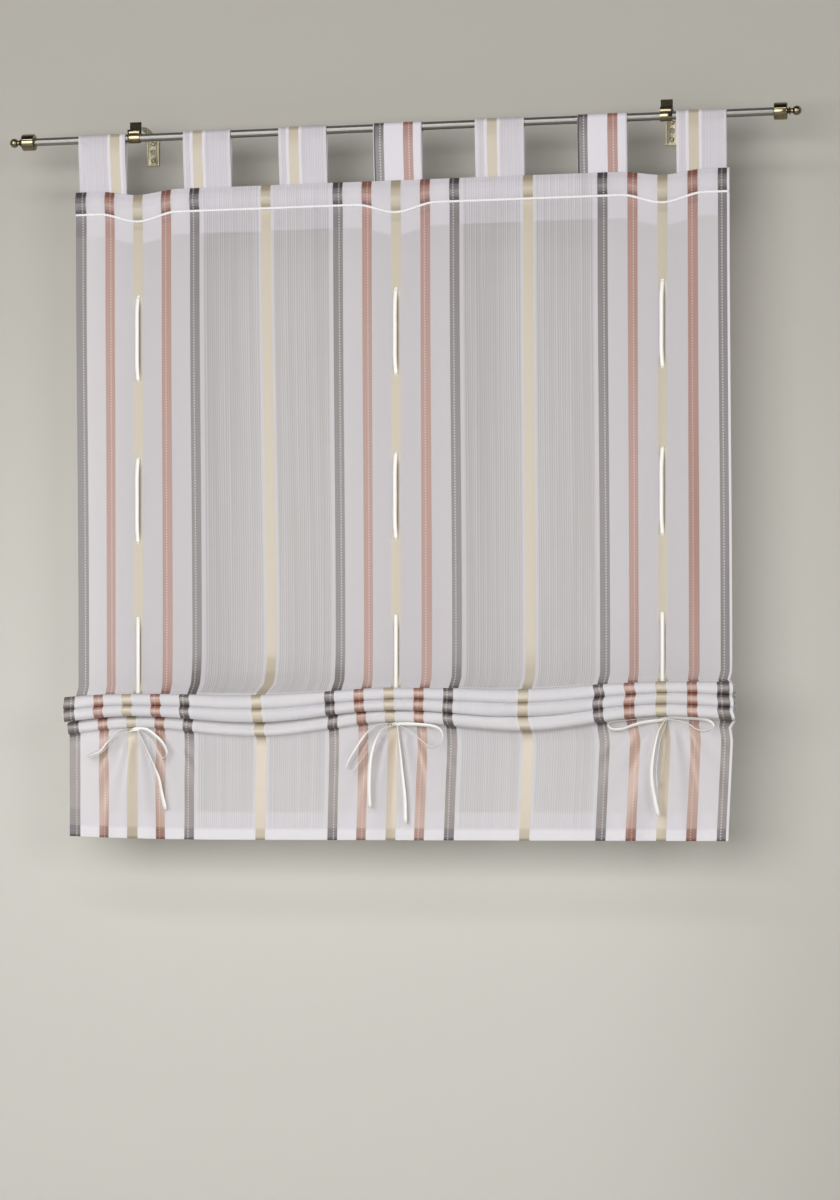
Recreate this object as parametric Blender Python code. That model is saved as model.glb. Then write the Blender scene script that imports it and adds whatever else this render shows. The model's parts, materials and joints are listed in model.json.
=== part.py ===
"""A tie-up curtain on its rod: sheer striped cloth hung by seven tabs from a thin wall rod.

Three satin ribbons run down through slits in the cloth. They hold its lower part up in flat
pleats and end in bows. The rod has a ball finial at each end and lies in two open brackets,
which are screwed to a wall.

Metres, +Z up, +X to the right, +Y into the wall. The origin is on the wall, midway between
the two brackets, at the height of the rod's axis.
"""

import math

import bmesh
import bpy
from mathutils import Vector

# Rod and what lies on it
ROD_RADIUS = 0.006
ROD_WALL = 0.001
ROD_LENGTH = 1.160
ROD_STANDOFF = 0.109
CLEARANCE = 0.0003
ROUND_SEGMENTS = 18

# Finials
CAP_RADIUS = 0.0125
CAP_LENGTH = 0.020
CAP_GRIP = 0.015
CAP_BEVEL = 0.0015
NECK_RADIUS = 0.0036
NECK_LENGTH = 0.0085
NECK_RING_RADIUS = 0.0055
BALL_RADIUS = 0.0065

# Brackets
BRACKET_GAP = 0.004
HOOK_WIDTH = 0.018
HOOK_WALL = 0.0016
HOOK_LIP = 0.0115
HOOK_BACK = 0.026
ARM_WIDTH = 0.009
ARM_THICKNESS = 0.0025
ARM_RISE = 0.028
PLATE_WIDTH = 0.0194
PLATE_BOTTOM = -0.0185
PLATE_TOP = 0.025
PLATE_THICKNESS = 0.002
RIM_WIDTH = 0.002
RIM_DEPTH = 0.002
SCREW_HEIGHTS = (0.0160, -0.0100)
PLATE_HOLE_HEIGHT = 0.0035
PLATE_HOLE_RADIUS = 0.0042

# Screws
SCREW_RADIUS = 0.0016
SCREW_LENGTH = 0.024
SCREW_POINT = 0.005
HEAD_RADIUS = 0.0033
HEAD_HEIGHT = 0.0022
RECESS_WIDTH = 0.0009
RECESS_SPAN = 0.0036
RECESS_DEPTH = 0.0012
SCREW_SEGMENTS = 12

# Cloth
CLOTH_WIDTH = 1.000
CLOTH_THICKNESS = 0.0008
LAYER_GAP = 0.0004
HEM_TOP = -0.080
HEM_HEIGHT = 0.035
HEM_PUFF = 0.0030
HEM_DIP = 0.007
STITCH_DIP = 0.013
DIP_REACH = 0.0535
BOTTOM_EDGE = -1.0735
BOTTOM_RISE = 0.005
BOTTOM_HEM = 0.014

# Distance between two ribbons, which is also the repeat of the woven stripes
RIBBON_PITCH = 0.4013

# Tabs, from left to right as they were sewn
TAB_CENTRES = (-0.457, -0.292, -0.143, 0.003, 0.158, 0.312, 0.459)
TAB_WIDTH = 0.074
TAB_THICKNESS = 0.0014
TAB_LAP = 0.032
TAB_ARC_STEPS = 8

# Pleats that the ribbons gather. Heights are for a bundle PLEATS_DRAWN tall.
PLEAT_TOP = -0.847
PLEAT_SLOPE = 0.0168
PLEAT_SAG = 0.0065
PLEATS_DRAWN = 0.052
PLEATS_TIED = 0.048
PLEATS_LOOSE = 0.058
PLEAT_REACH = 0.056
PLEAT_RADIUS = 0.0084
PLEAT_STEP = 0.0182
LAST_PLEAT_SHORTER = 0.020
BACK_RADIUS = 0.004
TURN_RADIUS = 0.005
PUFF = 0.025
PUFF_TILT = 0.05
SKIRT_FORWARD = 0.033

# Ribbons
RIBBON_WIDTH = 0.006
RIBBON_THICKNESS = 0.0005
RIBBON_START = 0.003
SLIT_HEIGHT = 0.004
SLIT_CLEARANCE = 0.0005
FIRST_SLIT = -0.243
FRONT_RUN = 0.128
BACK_RUN = 0.120
FRONT_RUNS = 3
KNOT_SIZE = (0.0065, 0.005, 0.005)
KNOT_FORWARD = 0.0056
KNOT_ASIDE = 0.0085
LAST_SLIT = -0.0575
SMOOTH_STEPS = 2

# Each bow as routes from its knot, in metres: to the right, towards the room, upwards
BOWS = {
    "left": (
        (
            (0, 0, 0.0012), (-0.014, 0.002, 0.001), (-0.027, 0.004, -0.001), (-0.037, 0.005, -0.010),
            (-0.046, 0.006, -0.020), (-0.056, 0.007, -0.032), (-0.071, 0.008, -0.038),
            (-0.073, 0.011, -0.042), (-0.055, 0.012, -0.036), (-0.043, 0.011, -0.026),
            (-0.034, 0.010, -0.014), (-0.024, 0.007, -0.007), (-0.012, 0.004, -0.004), (0, 0, -0.0012),
        ),
        (
            (0, 0, 0.0012), (0.016, 0.003, 0), (0.030, 0.005, -0.009), (0.042, 0.007, -0.020),
            (0.049, 0.009, -0.033), (0.048, 0.010, -0.040), (0.043, 0.010, -0.044),
            (0.037, 0.009, -0.037), (0.032, 0.008, -0.027), (0.025, 0.007, -0.016),
            (0.013, 0.003, -0.005), (0, 0, -0.0012),
        ),
        ((0, 0, 0), (0.012, 0.003, -0.021), (0.025, 0.006, -0.048), (0.036, 0.007, -0.073),
         (0.040, 0.005, -0.095), (0.046, 0.004, -0.121)),
    ),
    "centre": (
        (
            (0, 0, 0.0012), (-0.012, 0.003, 0.001), (-0.029, 0.005, -0.001), (-0.043, 0.007, -0.010),
            (-0.053, 0.008, -0.022), (-0.064, 0.009, -0.039), (-0.074, 0.010, -0.056),
            (-0.076, 0.011, -0.064), (-0.071, 0.012, -0.069), (-0.064, 0.013, -0.068),
            (-0.054, 0.013, -0.056), (-0.037, 0.011, -0.032), (-0.026, 0.009, -0.015),
            (-0.012, 0.004, -0.005), (0, 0, -0.0012),
        ),
        (
            (0, 0, 0.0012), (0.012, 0.004, 0), (0.031, 0.007, -0.001), (0.052, 0.009, -0.003),
            (0.065, 0.010, -0.008), (0.070, 0.011, -0.018), (0.066, 0.012, -0.029),
            (0.056, 0.012, -0.035), (0.047, 0.012, -0.032), (0.036, 0.010, -0.023),
            (0.020, 0.006, -0.010), (0, 0, -0.0012),
        ),
        ((0, 0, 0), (-0.010, 0.006, -0.002), (-0.021, 0.011, -0.008), (-0.028, 0.014, -0.018),
         (-0.034, 0.015, -0.033), (-0.039, 0.014, -0.058), (-0.041, 0.012, -0.093),
         (-0.040, 0.009, -0.125)),
        ((0, 0, 0), (0.002, 0.004, -0.019), (0.005, 0.006, -0.042), (0.008, 0.006, -0.072),
         (0.012, 0.006, -0.109), (0.013, 0.005, -0.148)),
    ),
    "right": (
        (
            (0, 0, 0.0012), (-0.014, 0.003, 0.001), (-0.036, 0.004, 0), (-0.060, 0.005, -0.003),
            (-0.081, 0.006, -0.005), (-0.087, 0.008, -0.009), (-0.081, 0.009, -0.016),
            (-0.065, 0.009, -0.016), (-0.051, 0.009, -0.011), (-0.037, 0.008, -0.007),
            (-0.018, 0.004, -0.004), (0, 0, -0.0012),
        ),
        (
            (0, 0, 0.0012), (0.014, 0.003, 0.001), (0.033, 0.005, 0), (0.054, 0.006, -0.002),
            (0.064, 0.007, -0.006), (0.068, 0.008, -0.012), (0.063, 0.009, -0.017),
            (0.053, 0.009, -0.019), (0.042, 0.009, -0.016), (0.032, 0.008, -0.009),
            (0.016, 0.004, -0.004), (0, 0, -0.0012),
        ),
        ((0, 0, 0), (-0.005, 0.006, -0.006), (-0.011, 0.010, -0.016), (-0.015, 0.013, -0.028),
         (-0.019, 0.014, -0.047), (-0.022, 0.013, -0.070), (-0.022, 0.011, -0.092),
         (-0.019, 0.008, -0.113), (-0.013, 0.005, -0.143)),
        ((0, 0, 0), (-0.003, 0.003, -0.012), (-0.009, 0.004, -0.029), (-0.014, 0.005, -0.057),
         (-0.016, 0.005, -0.082), (-0.014, 0.004, -0.103)),
    ),
}

# The sewn end of each ribbon, behind the skirt: how far it lies to the right of its slit and below it
LOWER_ENDS = {"left": (-0.018, -0.106), "centre": (0.004, -0.125), "right": (0.006, -0.032)}
RIBBON_COLUMNS = {"left": -RIBBON_PITCH, "centre": 0.0, "right": RIBBON_PITCH}

MATERIALS = {
    "sheer_voile": ((0.79, 0.77, 0.81, 1.0), 0.75, 0.0),
    "satin_ribbon": ((0.88, 0.86, 0.83, 1.0), 0.35, 0.0),
    "polished_steel": ((0.62, 0.61, 0.60, 1.0), 0.22, 1.0),
    "antique_brass": ((0.33, 0.26, 0.15, 1.0), 0.30, 1.0),
    "zinc_screw": ((0.55, 0.52, 0.46, 1.0), 0.35, 1.0),
}


def clear_scene():
    for obj in list(bpy.data.objects):
        bpy.data.objects.remove(obj, do_unlink=True)


def make_materials():
    made = {}
    for name, (colour, roughness, metallic) in MATERIALS.items():
        material = bpy.data.materials.new(name)
        material.use_nodes = True
        shader = material.node_tree.nodes["Principled BSDF"]
        shader.inputs["Base Color"].default_value = colour
        shader.inputs["Roughness"].default_value = roughness
        shader.inputs["Metallic"].default_value = metallic
        made[name] = material
    return made


def add_object(name, source, material=None):
    """An object from a bmesh, or from a mesh that another object shares."""
    mesh = source
    if isinstance(source, bmesh.types.BMesh):
        bmesh.ops.recalc_face_normals(source, faces=source.faces)
        mesh = bpy.data.meshes.new(name)
        source.to_mesh(mesh)
        source.free()
        if material:
            mesh.materials.append(material)
    obj = bpy.data.objects.new(name, mesh)
    bpy.context.scene.collection.objects.link(obj)
    return obj


def combine(obj, others, operation):
    """Joins other solids to this one, or cuts them from it, and keeps only the result."""
    for other in others:
        modifier = obj.modifiers.new(operation.lower(), "BOOLEAN")
        modifier.operation = operation
        modifier.object = other
    bpy.context.view_layer.update()
    graph = bpy.context.evaluated_depsgraph_get()
    mesh = bpy.data.meshes.new_from_object(obj.evaluated_get(graph))
    obj.modifiers.clear()
    obj.data = mesh
    for other in others:
        bpy.data.objects.remove(other, do_unlink=True)


def shade_round(obj):
    obj.data.shade_smooth()
    obj.data.set_sharp_from_angle(angle=math.radians(35))


def arc(y, z, radius, start, end, steps):
    """Points on a circle in the YZ plane. 0 degrees is +Y and 90 degrees is +Z."""
    points = []
    for step in range(steps + 1):
        angle = math.radians(start + (end - start) * step / steps)
        points.append((y + radius * math.cos(angle), z + radius * math.sin(angle)))
    return points


def turned_x(profile, sign=1, segments=ROUND_SEGMENTS):
    """A solid of revolution about the X axis, from (x, radius) points that start and end on it."""
    bm = bmesh.new()
    points = [bm.verts.new((sign * x, 0.0, radius)) for x, radius in profile]
    edges = [bm.edges.new(pair) for pair in zip(points, points[1:])]
    bmesh.ops.spin(
        bm,
        geom=points + edges,
        cent=(0, 0, 0),
        axis=(1, 0, 0),
        angle=2 * math.pi,
        steps=segments,
        use_merge=True,
    )
    bmesh.ops.remove_doubles(bm, verts=bm.verts, dist=1e-6)
    return bm


def box(low, high):
    bm = bmesh.new()
    bmesh.ops.create_cube(bm, size=1.0)
    for vert in bm.verts:
        vert.co = [low[i] if vert.co[i] < 0 else high[i] for i in range(3)]
    return bm


def cylinder_y(radius, x, z, front, back, segments=16):
    """A cylinder along Y from front to back."""
    bm = bmesh.new()
    bmesh.ops.create_cone(
        bm, cap_ends=True, segments=segments, radius1=radius, radius2=radius, depth=back - front
    )
    for vert in bm.verts:
        across, up, along = vert.co
        vert.co = (x + across, (front + back) / 2 + along, z + up)
    return bm


def smoothed(points, steps):
    """A smooth curve through the points, with this many pieces between each two."""
    points = [Vector(point) for point in points]
    ends = [points[0] * 2 - points[1]] + points + [points[-1] * 2 - points[-2]]
    curve = []
    for a, b, c, d in zip(ends, ends[1:], ends[2:], ends[3:]):
        for step in range(steps):
            t = step / steps
            curve.append(
                0.5 * (2 * b + (c - a) * t + (2 * a - 5 * b + 4 * c - d) * t**2
                       + (3 * b - a - 3 * c + d) * t**3)
            )
    return curve + [points[-1]]


def strap(route, width, thickness, across):
    """A flat strip along a route. across gives the direction of its width."""
    bm = bmesh.new()
    rings = []
    for i, point in enumerate(route):
        along = (route[min(i + 1, len(route) - 1)] - route[max(i - 1, 0)]).normalized()
        side = (across - along * across.dot(along)).normalized()
        out = along.cross(side)
        corners = ((1, 1), (1, -1), (-1, -1), (-1, 1))
        rings.append(
            [bm.verts.new(point + side * a * width / 2 + out * b * thickness / 2) for a, b in corners]
        )
    for ring, following in zip(rings, rings[1:]):
        for k in range(4):
            bm.faces.new((ring[k], ring[(k + 1) % 4], following[(k + 1) % 4], following[k]))
    bm.faces.new(rings[0])
    bm.faces.new(rings[-1])
    return bm


# The rod set


def add_rod(materials):
    half = ROD_LENGTH / 2
    inner = ROD_RADIUS - ROD_WALL
    bm = bmesh.new()
    corners = [(-half, ROD_RADIUS), (half, ROD_RADIUS), (half, inner), (-half, inner)]
    points = [bm.verts.new((x, 0.0, radius)) for x, radius in corners]
    edges = [bm.edges.new((points[k], points[(k + 1) % 4])) for k in range(4)]
    bmesh.ops.spin(
        bm,
        geom=points + edges,
        cent=(0, 0, 0),
        axis=(1, 0, 0),
        angle=2 * math.pi,
        steps=ROUND_SEGMENTS,
        use_merge=True,
    )
    bmesh.ops.remove_doubles(bm, verts=bm.verts, dist=1e-6)
    rod = add_object("rod", bm, materials["polished_steel"])
    rod.location = (0, -ROD_STANDOFF, 0)
    shade_round(rod)


def finial_profile():
    """(x, radius) of a finial, with x from the inner face of its cap. The rod goes into its bore."""
    bore = ROD_RADIUS + CLEARANCE
    neck = CAP_LENGTH
    ring = neck + 0.35 * NECK_LENGTH
    ball = neck + NECK_LENGTH + BALL_RADIUS * 0.7
    reach = math.degrees(math.asin(NECK_RADIUS / BALL_RADIUS))
    profile = [
        (CAP_GRIP + CLEARANCE, 0.0),
        (CAP_GRIP + CLEARANCE, bore),
        (0.0, bore),
        (0.0, CAP_RADIUS - CAP_BEVEL),
        (CAP_BEVEL, CAP_RADIUS),
        (CAP_LENGTH - CAP_BEVEL, CAP_RADIUS),
        (CAP_LENGTH, CAP_RADIUS - CAP_BEVEL),
        (CAP_LENGTH, NECK_RADIUS),
        (ring - 0.0010, NECK_RADIUS),
        (ring, NECK_RING_RADIUS),
        (ring + 0.0014, NECK_RING_RADIUS),
        (ring + 0.0024, NECK_RADIUS),
    ]
    steps = 6
    for step in range(steps + 1):
        angle = math.radians(180 - reach) * (1 - step / steps)
        profile.append((ball - BALL_RADIUS * -math.cos(angle), BALL_RADIUS * math.sin(angle)))
    return profile


def add_finials(materials):
    for name, sign in (("finial_left", -1), ("finial_right", 1)):
        finial = add_object(name, turned_x(finial_profile(), sign), materials["antique_brass"])
        finial.location = (sign * (ROD_LENGTH / 2 - CAP_GRIP), -ROD_STANDOFF, 0)
        shade_round(finial)


def bracket_centre():
    """The hooks stand just inside the two outer tabs."""
    return -TAB_CENTRES[0] - TAB_WIDTH / 2 - BRACKET_GAP - HOOK_WIDTH / 2


def hook_outline():
    """The open hook's side view, as (y, z) from the rod's axis."""
    inner = ROD_RADIUS + CLEARANCE
    outer = inner + HOOK_WALL
    return (
        [(-outer, HOOK_LIP)]
        + arc(0, 0, outer, 180, 360, 12)
        + [(outer, HOOK_BACK), (inner, HOOK_BACK)]
        + arc(0, 0, inner, 360, 180, 12)
        + [(-inner, HOOK_LIP)]
    )


def hook_mesh():
    bm = bmesh.new()
    face = bm.faces.new([bm.verts.new((-HOOK_WIDTH / 2, y, z)) for y, z in hook_outline()])
    grown = bmesh.ops.extrude_face_region(bm, geom=[face])["geom"]
    moved = [item for item in grown if isinstance(item, bmesh.types.BMVert)]
    bmesh.ops.translate(bm, vec=(HOOK_WIDTH, 0, 0), verts=moved)
    return bm


def arm_mesh():
    """A strap that rises from the hook's back and comes down to the top of the wall plate."""
    start = ROD_RADIUS + CLEARANCE + HOOK_WALL / 2
    end = ROD_STANDOFF - PLATE_THICKNESS / 2
    end_height = PLATE_TOP - ARM_THICKNESS / 2 - 0.0008
    route = smoothed(
        (
            (0, start, 0.5 * ARM_RISE),
            (0, start + 0.16 * (end - start), 0.74 * ARM_RISE),
            (0, start + 0.42 * (end - start), 0.96 * ARM_RISE),
            (0, start + 0.70 * (end - start), ARM_RISE),
            (0, start + 0.92 * (end - start), 0.93 * ARM_RISE),
            (0, end, end_height),
        ),
        SMOOTH_STEPS,
    )
    return strap(route, ARM_WIDTH, ARM_THICKNESS, Vector((1, 0, 0)))


def bracket_mesh(material):
    """One bracket around the origin of the rod's axis: hook, arm and wall plate in one piece."""
    half = PLATE_WIDTH / 2
    front = ROD_STANDOFF - PLATE_THICKNESS
    bracket = add_object("bracket_blank", hook_mesh(), material)
    plate = add_object("plate", box((-half, front, PLATE_BOTTOM), (half, ROD_STANDOFF, PLATE_TOP)))
    rims = []
    for side in (-1, 1):
        edges = sorted((side * half, side * (half - RIM_WIDTH)))
        rims.append(
            add_object(
                f"rim_{side}",
                box(
                    (edges[0], front - RIM_DEPTH, PLATE_BOTTOM),
                    (edges[1], front + PLATE_THICKNESS / 2, PLATE_TOP),
                ),
            )
        )
    combine(plate, rims, "UNION")
    holes = []
    radius = SCREW_RADIUS + CLEARANCE
    for height, size in [(z, radius) for z in SCREW_HEIGHTS] + [(PLATE_HOLE_HEIGHT, PLATE_HOLE_RADIUS)]:
        tool = cylinder_y(size, 0, height, front - RIM_DEPTH, ROD_STANDOFF + RIM_DEPTH)
        holes.append(add_object("hole", tool))
    combine(plate, holes, "DIFFERENCE")
    combine(bracket, [add_object("arm", arm_mesh()), plate], "UNION")
    mesh = bracket.data
    bpy.data.objects.remove(bracket)
    return mesh


def add_brackets(materials):
    mesh = bracket_mesh(materials["antique_brass"])
    for name, sign in (("bracket_left", -1), ("bracket_right", 1)):
        bracket = add_object(name, mesh)
        bracket.location = (sign * bracket_centre(), -ROD_STANDOFF, 0)
        shade_round(bracket)


def screw_mesh(material):
    """A round-head wood screw along +Y, with the underside of its head at the origin."""
    profile = [
        (-HEAD_HEIGHT, 0.0),
        (-HEAD_HEIGHT, 0.45 * HEAD_RADIUS),
        (-0.75 * HEAD_HEIGHT, 0.82 * HEAD_RADIUS),
        (-0.30 * HEAD_HEIGHT, HEAD_RADIUS),
        (0.0, HEAD_RADIUS),
        (0.0, SCREW_RADIUS),
        (SCREW_LENGTH - SCREW_POINT, SCREW_RADIUS),
        (SCREW_LENGTH, 0.0),
    ]
    bm = turned_x(profile, segments=SCREW_SEGMENTS)
    for vert in bm.verts:
        along, across, up = vert.co
        vert.co = (across, along, up)
    screw = add_object("screw_blank", bm, material)
    span, width = RECESS_SPAN / 2, RECESS_WIDTH / 2
    deep = RECESS_DEPTH - HEAD_HEIGHT
    above = -2 * HEAD_HEIGHT
    cross = add_object("recess", box((-span, above, -width), (span, deep, width)))
    combine(cross, [add_object("upright", box((-width, above, -span), (width, deep, span)))], "UNION")
    combine(screw, [cross], "DIFFERENCE")
    mesh = screw.data
    bpy.data.objects.remove(screw)
    return mesh


def add_screws(materials):
    mesh = screw_mesh(materials["zinc_screw"])
    seat = -PLATE_THICKNESS - CLEARANCE
    for side, sign in (("left", -1), ("right", 1)):
        for place, height in zip(("upper", "lower"), SCREW_HEIGHTS):
            screw = add_object(f"screw_{side}_{place}", mesh)
            screw.location = (sign * bracket_centre(), seat, height)
            shade_round(screw)


# The cloth


def between_ribbons(x):
    """0 at a ribbon and 1 midway between two."""
    return math.sin(math.pi * x / RIBBON_PITCH) ** 2


def pleat_top(x):
    return PLEAT_TOP + PLEAT_SLOPE * x - PLEAT_SAG * between_ribbons(x)


def pleat_scale(x):
    loose = between_ribbons(x)
    return (PLEATS_TIED + (PLEATS_LOOSE - PLEATS_TIED) * loose) / PLEATS_DRAWN


def last_reach(x):
    """The lowest pleat is shorter than the others on the left and as long on the right."""
    share = min(1.0, max(0.0, x / RIBBON_PITCH * 0.8 + 0.35))
    return PLEAT_REACH - LAST_PLEAT_SHORTER * (1 - share)


def puff(x):
    """How far the slack cloth above the pleats bulges towards the room between two ribbons."""
    if abs(x) > RIBBON_PITCH:
        return 0.0
    return (PUFF - PUFF_TILT * x) * between_ribbons(x)


def near_ribbon(x, reach):
    """1 at a ribbon, falling to 0 at this distance from it."""
    nearest = min(abs(x - centre) for centre in RIBBON_COLUMNS.values())
    return max(0.0, 1 - nearest / reach)


def hem_top(x):
    outer = abs(abs(x) - RIBBON_PITCH)
    return HEM_TOP - HEM_DIP * max(0.0, 1 - outer / DIP_REACH)


def stitch_height(x):
    return HEM_TOP - HEM_HEIGHT - STITCH_DIP * near_ribbon(x, DIP_REACH)


def slit_heights():
    """Heights of the slits in the flat upper part, from the top."""
    heights = []
    height = FIRST_SLIT
    for run in range(FRONT_RUNS):
        heights.append(height)
        if run < FRONT_RUNS - 1:
            heights.append(height - FRONT_RUN)
        height -= FRONT_RUN + BACK_RUN
    return heights


class Profile:
    """The cloth's side view at one x, as (y, z) rows, and the rows at which a slit begins."""

    def __init__(self, x):
        self.x = x
        self.rows = []
        self.slits = set()

    def add(self, *points):
        self.rows.extend(points)

    def add_slit(self, start, end):
        self.slits.add(len(self.rows))
        self.rows.extend((start, end))


def add_header_hem(profile):
    """The folded hem along the top: back layer, turned edge, puffed front layer, stitch line."""
    x = profile.x
    turn = (CLOTH_THICKNESS + LAYER_GAP) / 2
    top = hem_top(x) - turn
    stitch = stitch_height(x)
    height = top - stitch
    profile.add((turn, stitch), (turn, top - 0.5 * height))
    profile.add(*arc(0, top, turn, 0, 180, 3))
    profile.add(
        (-turn - 0.8 * HEM_PUFF, top - 0.25 * height),
        (-turn - HEM_PUFF, top - 0.55 * height),
        (-turn - 0.5 * HEM_PUFF, top - 0.85 * height),
        (-turn, stitch),
        (0.0, stitch - HEM_HEIGHT / 3),
    )


def add_flat_part(profile):
    """The upper part, down to where it turns into the first pleat."""
    for height in slit_heights():
        profile.add_slit((0.0, height + SLIT_HEIGHT / 2), (0.0, height - SLIT_HEIGHT / 2))
    top = pleat_top(profile.x)
    bulge = puff(profile.x)
    for rise, share in ((0.060, 0.06), (0.036, 0.30), (0.020, 0.62), (0.010, 0.85)):
        profile.add((-bulge * share, top + rise))


def pleat_point(profile, y, z):
    """A point drawn for the pleats, at its place for this x."""
    height = pleat_top(profile.x) + z * pleat_scale(profile.x)
    return y, height


def pushed(profile, y):
    """The bulge moves the start of the first pleat forward, and leaves its nose."""
    share = max(0.0, 1 + y / PLEAT_REACH)
    return y - puff(profile.x) * share


def add_pleats(profile):
    """Three pleats towards the room with two short ones behind, then the turn into the skirt."""

    def place(points):
        return [pleat_point(profile, y, z) for y, z in points]

    radius = PLEAT_RADIUS
    turn = arc(-TURN_RADIUS, TURN_RADIUS, TURN_RADIUS, -20, -70, 1)
    profile.add_slit(*place([(pushed(profile, y), z) for y, z in turn]))
    profile.add(*place([(pushed(profile, -0.030), 0.0002)]))
    centre = -radius - 0.0002
    crossings = ((-0.0020, -0.0045), (-0.0100, -0.0140))
    for index, (upper, lower) in enumerate(crossings):
        low = centre - radius
        profile.add(*place(arc(-PLEAT_REACH, centre, radius, 90, 270, 4)))
        pinch = low + 0.0070 + 0.0010 * index
        profile.add(*place([(-0.030, low + 0.0045)]))
        profile.add_slit(*place([(upper - SLIT_HEIGHT, pinch - 0.0003), (upper, pinch)]))
        back = 0.018 - 0.004 * index
        fold = pinch - 0.0062
        profile.add(*place([(upper + 0.010, pinch - 0.0010)]))
        profile.add(*place(arc(back, fold, BACK_RADIUS, 90, -90, 3)))
        profile.add(*place([(upper + 0.008, fold - BACK_RADIUS + 0.0020)]))
        following = pinch - 0.0062
        profile.add_slit(*place([(lower, following), (lower - SLIT_HEIGHT, following + 0.0002)]))
        if index == 0:
            profile.add(*place([(-0.030, low - 0.0001)]))
        centre -= PLEAT_STEP
    reach = last_reach(profile.x)
    profile.add(*place(arc(-reach, centre, radius, 90, 270, 4)))
    low = centre - radius
    profile.add(*place([(-SKIRT_FORWARD - 0.0010, low - 0.0009)]))


def add_skirt(profile):
    """The cloth below the pleats, with its last slit, and the hem along its lower edge."""
    slit = pleat_point(profile, 0.0, LAST_SLIT)[1]
    profile.add_slit(
        (-SKIRT_FORWARD, slit + SLIT_HEIGHT / 2), (-SKIRT_FORWARD, slit - SLIT_HEIGHT / 2)
    )
    turn = (CLOTH_THICKNESS + LAYER_GAP) / 2
    left = max(0.0, (-profile.x / CLOTH_WIDTH - 0.25) / 0.25)
    bottom = BOTTOM_EDGE + BOTTOM_RISE * left**2
    profile.add((-SKIRT_FORWARD, bottom + BOTTOM_HEM))
    profile.add(*arc(-SKIRT_FORWARD + turn, bottom + turn, turn, 180, 360, 3))
    profile.add((-SKIRT_FORWARD + 2 * turn, bottom + BOTTOM_HEM))


def cloth_profile(x):
    profile = Profile(x)
    add_header_hem(profile)
    add_flat_part(profile)
    add_pleats(profile)
    add_skirt(profile)
    return profile


def slit_half_width():
    return RIBBON_WIDTH / 2 + SLIT_CLEARANCE


def cloth_columns():
    """The x of each line of the cloth's grid: its edges, both sides of each slit, and between."""
    edge = CLOTH_WIDTH / 2
    columns = {-edge, edge}
    for ribbon in RIBBON_COLUMNS.values():
        for reach in (slit_half_width(), DIP_REACH):
            columns |= {x for x in (ribbon - reach, ribbon + reach) if abs(x) < edge - RIBBON_WIDTH}
    for middle in (-RIBBON_PITCH / 2, RIBBON_PITCH / 2):
        columns |= {middle + side * RIBBON_PITCH / 8 for side in (-1, 0, 1)}
    return sorted(round(x, 6) for x in columns)


def is_slit_column(x):
    """True where the strip of cloth to the right of this grid line is as wide as a slit."""
    centre = x + slit_half_width()
    return any(abs(centre - ribbon) < 1e-5 for ribbon in RIBBON_COLUMNS.values())


def add_cloth(materials):
    bm = bmesh.new()
    columns = cloth_columns()
    profiles = [cloth_profile(x) for x in columns]
    grid = [
        [bm.verts.new((x, y, z)) for y, z in profile.rows] for x, profile in zip(columns, profiles)
    ]
    slits = profiles[0].slits
    for k in range(len(columns) - 1):
        cut = is_slit_column(columns[k])
        for row in range(len(grid[k]) - 1):
            if cut and row in slits:
                continue
            bm.faces.new((grid[k][row], grid[k][row + 1], grid[k + 1][row + 1], grid[k + 1][row]))
    cloth = add_object("curtain_cloth", bm, materials["sheer_voile"])
    cloth.location = (0, -ROD_STANDOFF, 0)
    thick = cloth.modifiers.new("thickness", "SOLIDIFY")
    thick.thickness = CLOTH_THICKNESS
    thick.offset = 0
    thick.use_even_offset = True
    shade_round(cloth)


def add_tabs(materials):
    """Loops of doubled cloth over the rod, sewn behind the header hem."""
    turn = (CLOTH_THICKNESS + LAYER_GAP) / 2
    first = turn + CLOTH_THICKNESS / 2 + LAYER_GAP + TAB_THICKNESS / 2
    second = first + TAB_THICKNESS + LAYER_GAP
    radius = ROD_RADIUS + CLEARANCE + TAB_THICKNESS / 2
    for number, centre in enumerate(TAB_CENTRES, 1):
        end = HEM_TOP - TAB_LAP
        pinch = HEM_TOP + TAB_THICKNESS
        path = (
            [(first, end), (first, pinch)]
            + arc(0, 0, radius, 180, 0, TAB_ARC_STEPS)
            + [(second, pinch), (second, end)]
        )
        route = [Vector((centre, y, z)) for y, z in path]
        bm = strap(route, TAB_WIDTH, TAB_THICKNESS, Vector((1, 0, 0)))
        tab = add_object(f"tab_{number}", bm, materials["sheer_voile"])
        tab.location = (0, -ROD_STANDOFF, 0)
        shade_round(tab)


# The ribbons


def slit_centres(x):
    """(y, z) of the middle of each slit at this x, from the top."""
    profile = cloth_profile(x)
    centres = []
    for row in sorted(profile.slits):
        (y0, z0), (y1, z1) = profile.rows[row], profile.rows[row + 1]
        centres.append(((y0 + y1) / 2, (z0 + z1) / 2))
    return centres


def strand_route(x):
    """The threaded part of a ribbon: behind the cloth, then through one slit after another."""
    off = CLOTH_THICKNESS / 2 + LAYER_GAP + RIBBON_THICKNESS / 2 + CLEARANCE / 2
    step = 0.4 * SLIT_HEIGHT
    centres = slit_centres(x)
    flat = len(slit_heights())
    route = [(x, off, stitch_height(x) - RIBBON_START)]
    side = 1
    for _, height in centres[:flat]:
        route += [(x, side * off, height + step), (x, -side * off, height - step)]
        side = -side
    route.append((x, -off, centres[flat][1] + 2 * SLIT_HEIGHT))
    route += [(x, y, z) for y, z in centres[flat:-1]]
    last_y, last_z = centres[-1]
    route += [
        (x, last_y + 0.0080, last_z + 0.0110),
        (x, last_y + 0.0022, last_z + 0.0020),
        (x, last_y - KNOT_FORWARD, last_z - 0.0015),
    ]
    return [Vector(point) for point in route]


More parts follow.
